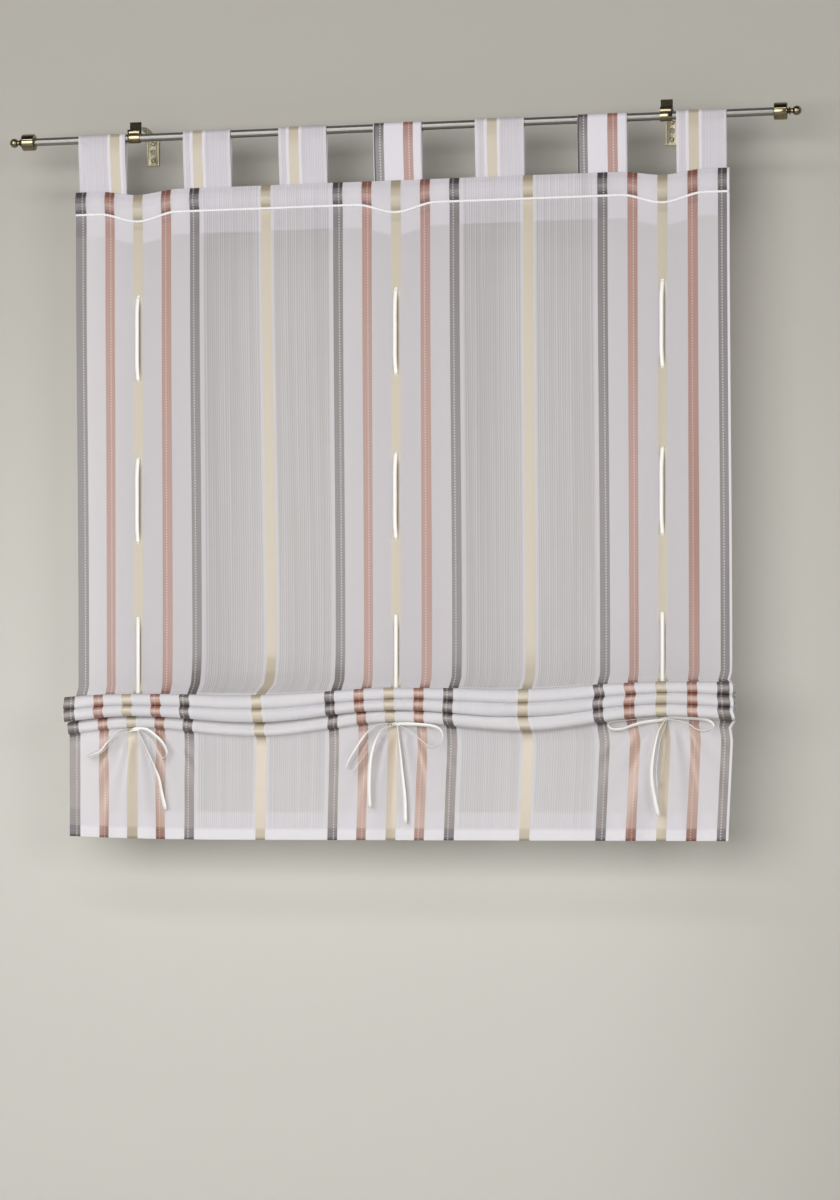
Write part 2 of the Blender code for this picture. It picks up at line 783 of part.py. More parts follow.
def lower_end_route(x, aside, drop):
    """The end that hangs behind the skirt, from where the strand reaches its last slit."""
    y, z = slit_centres(x)[-1]
    points = (
        (x, y + 0.0046, z + 0.0078),
        (x, y + 0.0040, z - 0.0010),
        (x + 0.2 * aside, y + 0.0030, z + 0.2 * drop),
        (x + aside, y + 0.0025, z + drop),
    )
    return smoothed(points, SMOOTH_STEPS)


def rounded_block(centre, size):
    bm = bmesh.new()
    bmesh.ops.create_cube(bm, size=1.0)
    bmesh.ops.scale(bm, vec=size, verts=bm.verts)
    bmesh.ops.bevel(
        bm,
        geom=bm.edges[:],
        offset=min(size) * 0.28,
        segments=1,
        profile=0.5,
        affect="EDGES",
        material=-1,
    )
    bmesh.ops.translate(bm, vec=centre, verts=bm.verts)
    return bm


def ribbon_strap(route, across):
    return strap(route, RIBBON_WIDTH, RIBBON_THICKNESS, Vector(across))


def add_ribbons(materials):
    for name, x in RIBBON_COLUMNS.items():
        route = strand_route(x)
        ribbon = add_object(
            f"tie_ribbon_{name}", ribbon_strap(route, (1, 0, 0)), materials["satin_ribbon"]
        )
        knot = route[-1] + Vector((KNOT_ASIDE, 0, 0.0015))
        link = [knot - Vector((KNOT_ASIDE + 0.0010, -0.0008, 0)), knot]
        lower = ribbon_strap(lower_end_route(x, *LOWER_ENDS[name]), (1, 0, 0))
        pieces = [
            add_object("knot", rounded_block(knot, KNOT_SIZE)),
            add_object("link", strap(link, 0.7 * KNOT_SIZE[2], 0.6 * KNOT_SIZE[1], Vector((0, 0, 1)))),
            add_object("lower", lower),
        ]
        for points in BOWS[name]:
            path = [knot + Vector((right, -room, up)) for right, room, up in points]
            bow = ribbon_strap(smoothed(path, SMOOTH_STEPS), (0.35, -1, 0.25))
            pieces.append(add_object("bow", bow))
        combine(ribbon, pieces, "UNION")
        ribbon.location = (0, -ROD_STANDOFF, 0)
        shade_round(ribbon)


def main():
    clear_scene()
    materials = make_materials()
    add_rod(materials)
    add_finials(materials)
    add_brackets(materials)
    add_screws(materials)
    add_cloth(materials)
    add_tabs(materials)
    add_ribbons(materials)


main()
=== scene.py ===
"""Looks of the tie-up curtain: sheer striped voile on a thin steel rod, drawn up by satin ribbons."""

import json
import math

import bmesh
import bpy
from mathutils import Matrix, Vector, noise

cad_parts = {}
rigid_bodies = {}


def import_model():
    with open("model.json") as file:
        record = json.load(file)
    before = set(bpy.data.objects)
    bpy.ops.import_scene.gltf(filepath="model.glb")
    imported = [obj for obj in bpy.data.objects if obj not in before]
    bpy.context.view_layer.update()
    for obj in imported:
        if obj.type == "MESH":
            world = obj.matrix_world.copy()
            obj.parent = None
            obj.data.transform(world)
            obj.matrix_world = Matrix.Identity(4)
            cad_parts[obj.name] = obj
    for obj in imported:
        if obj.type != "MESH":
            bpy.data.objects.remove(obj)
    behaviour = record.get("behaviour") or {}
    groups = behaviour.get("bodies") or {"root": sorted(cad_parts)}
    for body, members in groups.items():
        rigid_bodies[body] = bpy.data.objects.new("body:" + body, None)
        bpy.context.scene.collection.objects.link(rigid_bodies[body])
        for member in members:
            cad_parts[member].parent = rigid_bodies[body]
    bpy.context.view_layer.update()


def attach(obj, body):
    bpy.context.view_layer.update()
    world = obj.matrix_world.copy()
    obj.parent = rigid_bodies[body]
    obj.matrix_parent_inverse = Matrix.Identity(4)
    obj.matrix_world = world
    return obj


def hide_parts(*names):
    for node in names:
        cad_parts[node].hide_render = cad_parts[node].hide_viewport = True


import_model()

bl_info = {
    "name": "Tie-up curtain",
    "version": (1, 0, 0),
    "blender": (4, 5, 0),
    "location": "3D View > Sidebar > Curtain",
    "description": "Builds the visible pieces of a sheer tie-up curtain on its rod",
    "category": "Object",
}

# Rod set, in metres as everywhere here. The rod's axis is the X axis, moved towards the room.
ROD_STANDOFF = 0.109
ROD_RADIUS = 0.006
ROD_LENGTH = 1.160
CLEARANCE = 0.0003

# Finials
CAP_GRIP = 0.015
NECK_RADIUS = 0.0036
BALL_RADIUS = 0.0070
BALL_PLACE = 0.0335

# Cloth
CLOTH_WIDTH = 1.000
CLOTH_THICKNESS = 0.0008
LAYER_GAP = 0.0004
HEM_TOP = -0.080
HEM_HEIGHT = 0.035
HEM_PUFF = 0.0050
HEM_DIP = 0.007
STITCH_DIP = 0.013
HEM_ALLOWANCE = 0.034
DIP_REACH = 0.0535
BOTTOM_EDGE = -1.0735
BOTTOM_RISE = 0.005
BOTTOM_HEM = 0.014
BOTTOM_ALLOWANCE = 0.028
RIBBON_PITCH = 0.4013

# Seam of the header hem
SEAM_WIDTH = 0.0034
SEAM_THICKNESS = 0.0006
SEAM_OFF = 0.0009
STITCH_LENGTH = 0.0025

# Distance of each stripe's middle from the nearest ribbon: cream, rose, dark and the wide cream
STRIPES = (0.0, 0.0446, 0.0892, RIBBON_PITCH / 2)
SLUB_LENGTH = 0.25
SLUB_COVER = 0.22
HEM_COVER = 0.93
LADDER_STEP = 0.0042

# Tabs
TAB_CENTRES = (-0.457, -0.292, -0.143, 0.003, 0.158, 0.312, 0.459)
TAB_WIDTH = 0.074
TAB_THICKNESS = 0.0014
TAB_LAP = 0.032
TAB_EXTRA_COVER = 0.16
TAB_DEPTH = 0.75
# Where on the cloth each tab was cut: the distance of its middle from the cloth's middle
TAB_CUTS = (0.180, 0.215, 0.214, -0.061, 0.212, -0.060, 0.212)

# Pleats
PLEAT_TOP = -0.847
PLEAT_SLOPE = 0.0168
PLEAT_SAG = 0.0065
PLEATS_DRAWN = 0.052
PLEATS_TIED = 0.048
PLEATS_LOOSE = 0.058
PLEAT_REACH = 0.056
PLEAT_RADIUS = 0.0084
PLEAT_STEP = 0.0182
LAST_PLEAT_SHORTER = 0.020
BACK_RADIUS = 0.004
TURN_RADIUS = 0.005
PUFF = 0.025
PUFF_TILT = 0.05
SKIRT_FORWARD = 0.033
# Where the pleats narrow to the drawn ribbon, and how far the two short ones reach behind
PLEAT_WAIST = -0.030
PINCH_RISE = 0.0070
BACK_REACH = 0.018
FOLD_DROP = 0.0062
TOUCHING = 0.0002

# Ribbons
RIBBON_WIDTH = 0.006
RIBBON_THICKNESS = 0.0004
RIBBON_OFF = 0.0011
PINCH_REACH = 0.030
RUN_ASIDE = 0.0014
RIBBON_START = 0.003
SLIT_HEIGHT = 0.004
HALF_SLIT = RIBBON_WIDTH / 2 + 0.0005
FIRST_SLIT = -0.243
FRONT_RUN = 0.128
BACK_RUN = 0.120
FRONT_RUNS = 3
KNOT_FORWARD = 0.0056
KNOT_ASIDE = 0.0085
KNOT_RISE = 0.0012
KNOT_SIZE = (0.0075, 0.0055, 0.0060)
LAST_SLIT = -0.0575

# Each bow as routes from its knot, chosen one by one over the photo: right, towards the room, up
BOWS = {
    "left": {
        "loop_left": (
            (-0.014, 0.002, 0.001), (-0.027, 0.004, -0.001), (-0.037, 0.005, -0.010),
            (-0.046, 0.006, -0.020), (-0.056, 0.007, -0.032), (-0.071, 0.008, -0.038),
            (-0.073, 0.011, -0.042), (-0.055, 0.012, -0.036), (-0.043, 0.011, -0.026),
            (-0.034, 0.010, -0.014), (-0.024, 0.007, -0.007), (-0.012, 0.004, -0.004),
        ),
        "loop_right": (
            (0.016, 0.003, 0), (0.030, 0.005, -0.009), (0.042, 0.007, -0.020),
            (0.049, 0.009, -0.033), (0.048, 0.010, -0.040), (0.043, 0.010, -0.044),
            (0.037, 0.009, -0.037), (0.032, 0.008, -0.027), (0.025, 0.007, -0.016),
            (0.013, 0.003, -0.005),
        ),
        "tail_right": (
            (0.012, 0.003, -0.021), (0.025, 0.006, -0.048), (0.036, 0.007, -0.073),
            (0.040, 0.005, -0.095), (0.046, 0.004, -0.121),
        ),
    },
    "centre": {
        "loop_left": (
            (-0.012, 0.003, 0.001), (-0.029, 0.005, -0.001), (-0.043, 0.007, -0.010),
            (-0.053, 0.008, -0.022), (-0.064, 0.009, -0.039), (-0.074, 0.010, -0.056),
            (-0.076, 0.011, -0.064), (-0.071, 0.012, -0.069), (-0.064, 0.013, -0.068),
            (-0.054, 0.013, -0.056), (-0.037, 0.011, -0.032), (-0.026, 0.009, -0.015),
            (-0.012, 0.004, -0.005),
        ),
        "loop_right": (
            (0.012, 0.004, 0), (0.031, 0.007, -0.001), (0.052, 0.009, -0.003),
            (0.065, 0.010, -0.008), (0.070, 0.011, -0.018), (0.066, 0.012, -0.029),
            (0.056, 0.012, -0.035), (0.047, 0.012, -0.032), (0.036, 0.010, -0.023),
            (0.020, 0.006, -0.010),
        ),
        "tail_left": (
            (-0.010, 0.006, -0.002), (-0.021, 0.011, -0.008), (-0.028, 0.014, -0.018),
            (-0.034, 0.015, -0.033), (-0.039, 0.014, -0.058), (-0.041, 0.012, -0.093),
            (-0.040, 0.009, -0.125),
        ),
        "tail_right": (
            (0.002, 0.004, -0.019), (0.005, 0.006, -0.042), (0.008, 0.006, -0.072),
            (0.012, 0.006, -0.109), (0.013, 0.005, -0.148),
        ),
    },
    "right": {
        "loop_left": (
            (-0.014, 0.003, 0.001), (-0.036, 0.004, 0), (-0.060, 0.005, -0.003),
            (-0.081, 0.006, -0.005), (-0.087, 0.008, -0.009), (-0.081, 0.009, -0.016),
            (-0.065, 0.009, -0.016), (-0.051, 0.009, -0.011), (-0.037, 0.008, -0.007),
            (-0.018, 0.004, -0.004),
        ),
        "loop_right": (
            (0.014, 0.003, 0.001), (0.033, 0.005, 0), (0.054, 0.006, -0.002),
            (0.064, 0.007, -0.006), (0.068, 0.008, -0.012), (0.063, 0.009, -0.017),
            (0.053, 0.009, -0.019), (0.042, 0.009, -0.016), (0.032, 0.008, -0.009),
            (0.016, 0.004, -0.004),
        ),
        "tail_left": (
            (-0.005, 0.006, -0.006), (-0.011, 0.010, -0.016), (-0.015, 0.013, -0.028),
            (-0.019, 0.014, -0.047), (-0.022, 0.013, -0.070), (-0.022, 0.011, -0.092),
            (-0.019, 0.008, -0.113), (-0.013, 0.005, -0.143),
        ),
        "tail_right": (
            (-0.003, 0.003, -0.012), (-0.009, 0.004, -0.029), (-0.014, 0.005, -0.057),
            (-0.016, 0.005, -0.082), (-0.014, 0.004, -0.103),
        ),
    },
}
# Which loop and tail belong to the threaded end of each ribbon, and which to its sewn end
BOW_ENDS = {
    "left": (("loop_right", "tail_right"), ("loop_left",)),
    "centre": (("loop_left", "tail_left"), ("loop_right", "tail_right")),
    "right": (("loop_right", "tail_left"), ("loop_left", "tail_right")),
}
# Direction of a ribbon's width in a loop, where a tail begins and where it ends
LOOP_ACROSS = {"loop_left": (0.60, -0.45, -0.50), "loop_right": (0.60, -0.45, 0.50)}
LOOP_START_ACROSS = {"loop_left": (0.10, -1.00, 0.05), "loop_right": (0.60, -0.45, 0.50)}
LOOP_END_ACROSS = (0.15, -0.95, 0.15)
TAIL_START_ACROSS = (0.40, -0.90, 0.10)
TAIL_END_ACROSS = (1.0, -0.25, 0.0)
# Where a strand turns another way: its start and its end
TURNED_STRANDS = {
    ("right", "loop_left"): ((0.10, -1.00, 0.05), (0.45, -0.40, 0.80)),
    ("right", "tail_right"): ((0.12, -1.00, 0.05), (0.30, -0.95, 0.00)),
}
LOWER_ENDS = {"left": (-0.018, -0.106), "centre": (0.004, -0.125), "right": (0.006, -0.032)}
RIBBON_COLUMNS = {"left": -RIBBON_PITCH, "centre": 0.0, "right": RIBBON_PITCH}

# How far the stripes have strayed to the right: at the foot of the panel, more in the slack cloth
# left of the centre, and on the right of the skirt, which also hangs aslant
PANEL_STRAY = 0.0040
SLACK_STRAY = 0.0055
SKIRT_STRAY = 0.0050
SKIRT_SLANT = 0.0075

# Small waves of the hanging cloth, creases in the pleats, and how far the pleats' right end flares
WAVE_DEPTH = 0.0022
SKIRT_WAVE_DEPTH = 0.0028
FALL_DEPTH = 0.0046
CREASE_DEPTH = 0.0034
CREASE_ASIDE = 0.0032
CREASE_RISE = 0.0013
PLEAT_FLARE = 0.003
SELVAGE_FLARE = 0.006

# The tuck that a ribbon's front run draws in: its depth, and how far the cloth moves in beside it
TUCK_DEPTH = 0.0035
TUCK_ASIDE = 0.0025

# How dense the cloth looks in each part, where 1 is fully doubled. In the pleats, which are several
# layers deep, it is partly painted light that whitens the shade of their grooves; in the skirt it is
# painted light that stands in for light shining through from behind.
SKIRT_DENSE_PAINTED_LIGHT = 0.35
HEADER_DENSE = 0.25
PLEATS_DENSE_AND_PAINTED_LIGHT = 0.8

# How deep the stripes look in each part, set to match the photo. Below 0 they are paler.
# Above 0 this is painted shade where the cloth folds away, under the pleats and at the bottom fold,
# and in the bottom hem the deeper colour of doubled cloth. Below 0 it is painted highlight on the
# fronts of the pleats and in the middle of the header, and in the skirt a painted tint that stands in
# for light shining through from behind.
SKIRT_PAINTED_BACKLIGHT = -0.5
UNDER_PLEATS_PAINTED_SHADE = 1.2
BOTTOM_HEM_DEPTH = 0.5
BOTTOM_FOLD_PAINTED_SHADE = 2.4
BOTTOM_FOLD_HEIGHT = 0.0012
SLACK_PAINTED_SHADE = 1.1
PLEAT_EDGE_PAINTED_SHADE = 2.4
PLEAT_FRONT_PAINTED_HIGHLIGHT = 2.8
HEADER_EDGE_PAINTED_SHADE = 1.9
HEADER_MIDDLE_PAINTED_HIGHLIGHT = 0.1

# Camera, and the darker sides of the surroundings that metal mirrors, beside the rest of them
LENS = 82.3
LENS_SHIFT = 0.162
CAMERA_PLACE = (0.739, -4.175, -1.005)
CAMERA_TURN = 9.8
DARK_ROOM = 0.15
DARK_CEILING = 0.15


def finial_profile():
    """(x, radius) of a finial, with x from the inner face of its cap."""
    inner = ROD_RADIUS + CLEARANCE
    profile = [
        (CAP_GRIP, 0.0), (CAP_GRIP, inner), (0.0, inner), (0.0, 0.0110), (0.0004, 0.0119),
        (0.0012, 0.0124), (0.0020, 0.0125), (0.0180, 0.0125), (0.0188, 0.0124), (0.0196, 0.0119),
        (0.0200, 0.0110), (0.0200, 0.0052), (0.0206, 0.0042), (0.0216, NECK_RADIUS),
        (0.0222, 0.0042), (0.0228, 0.0052), (0.0236, 0.0057), (0.0244, 0.0052), (0.0250, 0.0042),
        (0.0258, NECK_RADIUS),
    ]
    for step in range(17):
        angle = math.radians(148) * (1 - step / 16)
        profile.append(
            (BALL_PLACE + BALL_RADIUS * math.cos(angle), BALL_RADIUS * math.sin(angle))
        )
    return profile


FINIAL_PROFILE = finial_profile()


def linear(hex_colour):
    """The linear values of an sRGB colour written as #RRGGBB."""
    values = [int(hex_colour[i : i + 2], 16) / 255 for i in (1, 3, 5)]
    return tuple(v / 12.92 if v <= 0.04045 else ((v + 0.055) / 1.055) ** 2.4 for v in values)


def colour_property(name, description, hex_colour):
    return bpy.props.FloatVectorProperty(
        name=name,
        description=description,
        subtype="COLOR",
        size=3,
        min=0.0,
        max=1.0,
        default=linear(hex_colour),
    )


def share_property(name, description, default):
    return bpy.props.FloatProperty(
        name=name, description=description, subtype="FACTOR", min=0.0, max=1.0, default=default
    )


def length_property(name, description, default):
    return bpy.props.FloatProperty(
        name=name, description=description, unit="LENGTH", precision=4, min=0.0, default=default
    )


class ClothSettings(bpy.types.PropertyGroup):
    """Colours and weave of the cloth and its tabs."""

    voile: colour_property("Voile", "The white ground of the cloth", "#E8E4EA")
    # In the pleats and the skirt this white is partly painted light.
    hem: colour_property("Hem white", "White where the cloth is doubled", "#EFEDF1")
    dark: colour_property("Dark stripe", "Grey side of the dark stripe", "#5C5552")
    mauve: colour_property("Mauve edge", "Mauve side of the dark stripe", "#5D5256")
    rose: colour_property("Rose stripe", "Rose stripe with a ladder weave", "#9A6B5B")
    cream: colour_property("Cream stripe", "Plain cream stripe", "#B9AD97")
    # Painted light: a tint that stands in for light shining through a stripe from behind.
    backlit: colour_property("Backlit stripe", "Tint of a stripe with light behind it", "#F6E3D3")
    thread: colour_property("Thread", "White sewing thread of the header seam", "#FAF9FA")
    between_stitches: colour_property("Between stitches", "Seam between two stitches", "#DAD7DB")
    stripe: length_property("Stripe width", "Width of each woven stripe", 0.0150)
    slub: length_property("Slub spacing", "Distance between the coarse threads", 0.0034)
    plain_cover: share_property("Plain cover", "How much the close weave hides", 0.66)
    open_cover: share_property("Open cover", "How much the open weave hides", 0.37)
    stripe_cover: share_property("Stripe cover", "How much a stripe hides", 0.88)
    glow: share_property("Glow", "How much of its light the ground lets through", 0.20)


class RibbonSettings(bpy.types.PropertyGroup):
    """Size and colour of the tie ribbons."""

    width: length_property("Width", "Width of the satin ribbon", RIBBON_WIDTH)
    colour: colour_property("Satin", "Off-white satin", "#FBF9F5")


class MetalSettings(bpy.types.PropertyGroup):
    """Colours of the rod set."""

    steel: colour_property("Rod steel", "Satin steel tube", "#93918D")
    brass: colour_property("Antique brass", "Darkened brass of finials and brackets", "#857B64")
    worn: colour_property("Worn brass", "Brass where handling has brightened it", "#A99D83")
    plate: colour_property("Brushed brass", "Paler, duller brass of the wall plates", "#B0A88F")
    screw: colour_property("Screw steel", "Zinc-plated screws", "#B9B2A2")


class StageSettings(bpy.types.PropertyGroup):
    """Wall, floor and lights."""

    # The second wall colour is painted shade: the wall darkens towards it upwards and, low down, to
    # the right.
    wall: colour_property("Wall", "Warm grey wall, low down", "#CFCDC6")
    wall_painted_shade: colour_property("Wall above", "Warm grey wall, above the rod", "#B0ADA5")
    floor: colour_property("Floor", "Pale floor", "#D6D4CE")
    key_power: bpy.props.FloatProperty(
        name="Key light", description="Power of the large key light", subtype="POWER", default=112.0
    )
    overhead_power: bpy.props.FloatProperty(
        name="Overhead light",
        description="Power of the long soft light high in front",
        subtype="POWER",
        default=30.0,
    )
    surroundings: colour_property("Surroundings", "Pale grey past the wall and floor", "#C4C4C4")
    ambient: share_property("Ambient", "Strength of the soft light from all sides", 0.072)


def between_ribbons(x):
    """0 at a ribbon and 1 midway between two."""
    return math.sin(math.pi * x / RIBBON_PITCH) ** 2


def pleat_top(x):
    return PLEAT_TOP + PLEAT_SLOPE * x - PLEAT_SAG * between_ribbons(x)


def pleat_scale(x):
    loose = between_ribbons(x)
    return (PLEATS_TIED + (PLEATS_LOOSE - PLEATS_TIED) * loose) / PLEATS_DRAWN


def last_reach(x):
    share = min(1.0, max(0.0, x / RIBBON_PITCH * 0.8 + 0.35))
    return PLEAT_REACH - LAST_PLEAT_SHORTER * (1 - share)


def puff(x):
    """How far the slack cloth above the pleats bulges towards the room."""
    if abs(x) > RIBBON_PITCH:
        return 0.0
    return (PUFF - PUFF_TILT * x) * between_ribbons(x)


def near_ribbon(x, reach):
    nearest = min(abs(x - centre) for centre in RIBBON_COLUMNS.values())
    return max(0.0, 1 - nearest / reach)


def eased(share):
    share = min(1.0, max(0.0, share))
    return share * share * (3 - 2 * share)


def hem_top(x):
    outer = abs(abs(x) - RIBBON_PITCH)
    return HEM_TOP - HEM_DIP * eased(1 - outer / (1.2 * DIP_REACH))


def stitch_height(x):
    return HEM_TOP - HEM_HEIGHT - STITCH_DIP * eased(near_ribbon(x, 1.15 * DIP_REACH))


def shade_under_seam(x, z):
    """1 at a ribbon just under the header's seam, where the drawn cloth turns away from the light:
    there the stripes get painted shade.
    """
    below = stitch_height(x) - z
    return eased(3 * near_ribbon(x - 0.020, 0.045)) * eased(below / 0.002) * eased(4 - below / 0.004)


def slit_heights():
    heights = []
    height = FIRST_SLIT
    for run in range(FRONT_RUNS):
        heights.append(height)
        if run < FRONT_RUNS - 1:
            heights.append(height - FRONT_RUN)
        height -= FRONT_RUN + BACK_RUN
    return heights


def arc(y, z, radius, start, end, steps):
    """Points on a circle in the YZ plane. 0 degrees is +Y and 90 degrees is +Z."""
    points = []
    for step in range(steps + 1):
        angle = math.radians(start + (end - start) * step / steps)
        points.append((y + radius * math.cos(angle), z + radius * math.sin(angle)))
    return points


def ridge(y, z, radius):
    """The front of a pleat: a fold pressed flatter than a circle, close against the next one."""
    points = []
    for step in range(13):
        angle = math.pi * (0.5 + step / 12)
        forward = max(0.0, -math.cos(angle)) ** 0.8
        upward = 1.13 * math.copysign(abs(math.sin(angle)) ** 0.85, math.sin(angle))
        points.append((y - radius * forward, z + radius * upward))
    return points


def smoothed(points, steps):
    """A smooth curve through the points, with this many pieces between each two."""
    points = [Vector(point) for point in points]
    ends = [points[0] * 2 - points[1]] + points + [points[-1] * 2 - points[-2]]
    curve = []
    for a, b, c, d in zip(ends, ends[1:], ends[2:], ends[3:]):
        for step in range(steps):
            t = step / steps
            curve.append(
                0.5 * (2 * b + (c - a) * t + (2 * a - 5 * b + 4 * c - d) * t**2
                       + (3 * b - a - 3 * c + d) * t**3)
            )
    return curve + [points[-1]]


class Profile:
    """The cloth's side view at one x: (y, z) rows from the rod's axis, and where slits begin."""

    def __init__(self, x):
        self.x = x
        self.rows = []
        self.slits = set()
        self.parts = []

    def add(self, part, *points):
        self.rows.extend(points)
        self.parts.extend([part] * len(points))

    def add_slit(self, part, start, end):
        self.slits.add(len(self.rows))
        self.add(part, start, end)


def add_header_hem(profile):
    x = profile.x
    turn = (CLOTH_THICKNESS + LAYER_GAP) / 2
    top = hem_top(x) - turn
    stitch = stitch_height(x)
    height = top - stitch
    profile.add("hem", (turn, stitch - HEM_ALLOWANCE), (turn, stitch), (turn, top - 0.5 * height))
    profile.add("hem", *arc(0, top, turn, 0, 180, 4))
    profile.add(
        "hem",
        (-turn - 0.8 * HEM_PUFF, top - 0.25 * height),
        (-turn - HEM_PUFF, top - 0.55 * height),
        (-turn - 0.5 * HEM_PUFF, top - 0.85 * height),
        (-turn, stitch),
        (0.0, stitch - HEM_HEIGHT / 3),
    )


def add_flat_part(profile):
    for height in slit_heights():
        half = SLIT_HEIGHT / 2
        profile.add_slit("panel", (0.0, height + half), (0.0, height - half))
    top = pleat_top(profile.x)
    bulge = puff(profile.x)
    for rise, share in ((0.060, 0.06), (0.036, 0.30), (0.020, 0.62), (0.010, 0.85)):
        profile.add("slack", (-bulge * share, top + rise))


def pleat_point(profile, y, z):
    return y, pleat_top(profile.x) + z * pleat_scale(profile.x)


def pushed(profile, y):
    share = max(0.0, 1 + y / PLEAT_REACH)
    return y - puff(profile.x) * share


def add_pleats(profile):
    """Three pleats towards the room with two short ones behind, then the turn into the skirt."""

    def place(points):
        return [pleat_point(profile, y, z) for y, z in points]

    radius = PLEAT_RADIUS
    turn = arc(-TURN_RADIUS, TURN_RADIUS, TURN_RADIUS, -20, -70, 1)
    profile.add_slit("pleats", *place([(pushed(profile, y), z) for y, z in turn]))
    profile.add("pleats", *place([(pushed(profile, PLEAT_WAIST), TOUCHING)]))
    centre = -radius - TOUCHING
    crossings = ((-0.0020, -0.0045), (-0.0100, -0.0140))
    for index, (upper, lower) in enumerate(crossings):
        low = centre - radius
        profile.add("pleats", *place(ridge(-PLEAT_REACH, centre, radius)))
        pinch = low + PINCH_RISE + 0.0010 * index
        profile.add("pleats", *place([(PLEAT_WAIST, low + 0.0045)]))
        profile.add_slit("pleats", *place([(upper - SLIT_HEIGHT, pinch - 0.0003), (upper, pinch)]))
        back = BACK_REACH - 0.004 * index
        fold = pinch - FOLD_DROP
        profile.add("pleats", *place([(upper + 0.010, pinch - 0.0010)]))
        profile.add("pleats", *place(arc(back, fold, BACK_RADIUS, 90, -90, 6)))
        profile.add("pleats", *place([(upper + 0.008, fold - BACK_RADIUS + 0.0020)]))
        slit = place([(lower, fold), (lower - SLIT_HEIGHT, fold + TOUCHING)])
        profile.add_slit("pleats", *slit)
        if index == 0:
            profile.add("pleats", *place([(PLEAT_WAIST, low - 0.0001)]))
        centre -= PLEAT_STEP
    reach = last_reach(profile.x)
    profile.add("pleats", *place(ridge(-reach, centre, radius)))
    low = centre - radius
    profile.add("pleats", *place([(-SKIRT_FORWARD - 0.0010, low - 0.0009)]))


def add_skirt(profile):
    slit = pleat_point(profile, 0.0, LAST_SLIT)[1]
    half = SLIT_HEIGHT / 2
    profile.add_slit("skirt", (-SKIRT_FORWARD, slit + half), (-SKIRT_FORWARD, slit - half))
    turn = (CLOTH_THICKNESS + LAYER_GAP) / 2
    left = max(0.0, (-profile.x / CLOTH_WIDTH - 0.25) / 0.25)
    bottom = BOTTOM_EDGE + BOTTOM_RISE * left**2
    profile.add("skirt", (-SKIRT_FORWARD, bottom + BOTTOM_HEM))
    profile.add("skirt", *arc(-SKIRT_FORWARD + turn, bottom + turn, turn, 180, 360, 5))
    inside = -SKIRT_FORWARD + 2 * turn
    profile.add("skirt", (inside, bottom + BOTTOM_HEM))
    profile.add("skirt", (inside, bottom + BOTTOM_HEM + BOTTOM_ALLOWANCE))


def drawn_profile(x):
    profile = Profile(x)
    add_header_hem(profile)
    add_flat_part(profile)
    add_pleats(profile)
    add_skirt(profile)
    return profile


ROW_SPACING = {"hem": 0.004, "panel": 0.008, "slack": 0.004, "pleats": 0.0024, "skirt": 0.005}


def split_counts():
    """Into how many pieces each step of a profile is cut, the same at every x."""
    drawn = drawn_profile(-RIBBON_PITCH / 2)
    counts = []
    for row in range(len(drawn.rows) - 1):
        if row in drawn.slits:
            counts.append(1)
            continue
        length = math.dist(drawn.rows[row], drawn.rows[row + 1])
        counts.append(max(1, math.ceil(length / ROW_SPACING[drawn.parts[row]])))
    return counts


SPLIT_COUNTS = split_counts()


def fine_profile(x):
    """The side view in fine rows, with its folds softened."""
    drawn = drawn_profile(x)
    fine = Profile(x)
    for row, count in enumerate(SPLIT_COUNTS):
        if row in drawn.slits:
            fine.slits.add(len(fine.rows))
        start, end = drawn.rows[row], drawn.rows[row + 1]
        for step in range(count):
            share = step / count
            point = tuple(a + (b - a) * share for a, b in zip(start, end))
            fine.add(drawn.parts[row], point)
    fine.add(drawn.parts[-1], drawn.rows[-1])
    for _ in range(2):
        rows = fine.rows[:]
        for row in range(1, len(rows) - 1):
            if fine.parts[row] in ("slack", "pleats"):
                before, here, after = rows[row - 1], rows[row], rows[row + 1]
                fine.rows[row] = tuple((a + 2 * b + c) / 4 for a, b, c in zip(before, here, after))
    return fine


def panel_stray(x):
    """How far the stripes have strayed at the panel's foot, which is not at all beside a ribbon."""
    away = eased(1 - near_ribbon(x, 0.080))
    slack = eased(1 - abs(x + RIBBON_PITCH / 2) / 0.110)
    return PANEL_STRAY * away + SLACK_STRAY * slack


def skirt_stray(x):
    return SKIRT_STRAY * eased((x - 0.05) / 0.30)


def lean(x, z):
    """How far the cloth has strayed to the right here."""
    top = pleat_top(x)
    if z > top:
        down = eased((-0.12 - z) / (-0.12 - top - 0.03))
        back = eased((z - top) / 0.022)
        return panel_stray(x) * down * back
    if z > top - 0.035:
        return 0.0
    down = max(0.0, (top - 0.065 - z) / 0.16)
    aslant = SKIRT_SLANT * eased((x + 0.5) / 0.8) * (0.4 - down)
    return (skirt_stray(x) + aslant) * eased((top - 0.04 - z) / 0.05)


def front_run(z, x):
    """1 where the ribbon passes in front of the cloth, eased to 0 at each end of the run."""
    share = 0.0
    for start in slit_heights()[::2]:
        end = start - FRONT_RUN if start != slit_heights()[-1] else pleat_top(x) + 0.006
        share = max(share, eased((start - 0.003 - z) / 0.02) * eased((z - end - 0.003) / 0.02))
    return share


def pinched(x, z):
    """The tuck that a ribbon draws in behind its front runs: how far sideways and backwards."""
    for ribbon in RIBBON_COLUMNS.values():
        off = x - ribbon
        if abs(off) < PINCH_REACH:
            drawn = front_run(z, x)
            near = math.exp(-((off / 0.0085) ** 2))
            wide = eased(1 - abs(off) / PINCH_REACH)
            sideways = -off * 0.55 * near - math.copysign(TUCK_ASIDE, off) * wide * (1 - near)
            return sideways * drawn + 0.0008 * near * drawn, TUCK_DEPTH * near * drawn
    return 0.0, 0.0


def soft_noise(x, z, waves_across, waves_up, seed):
    """Soft random waves from -1 to 1, about so many per metre across and up."""
    return noise.noise(Vector((x * waves_across, z * waves_up, seed)))


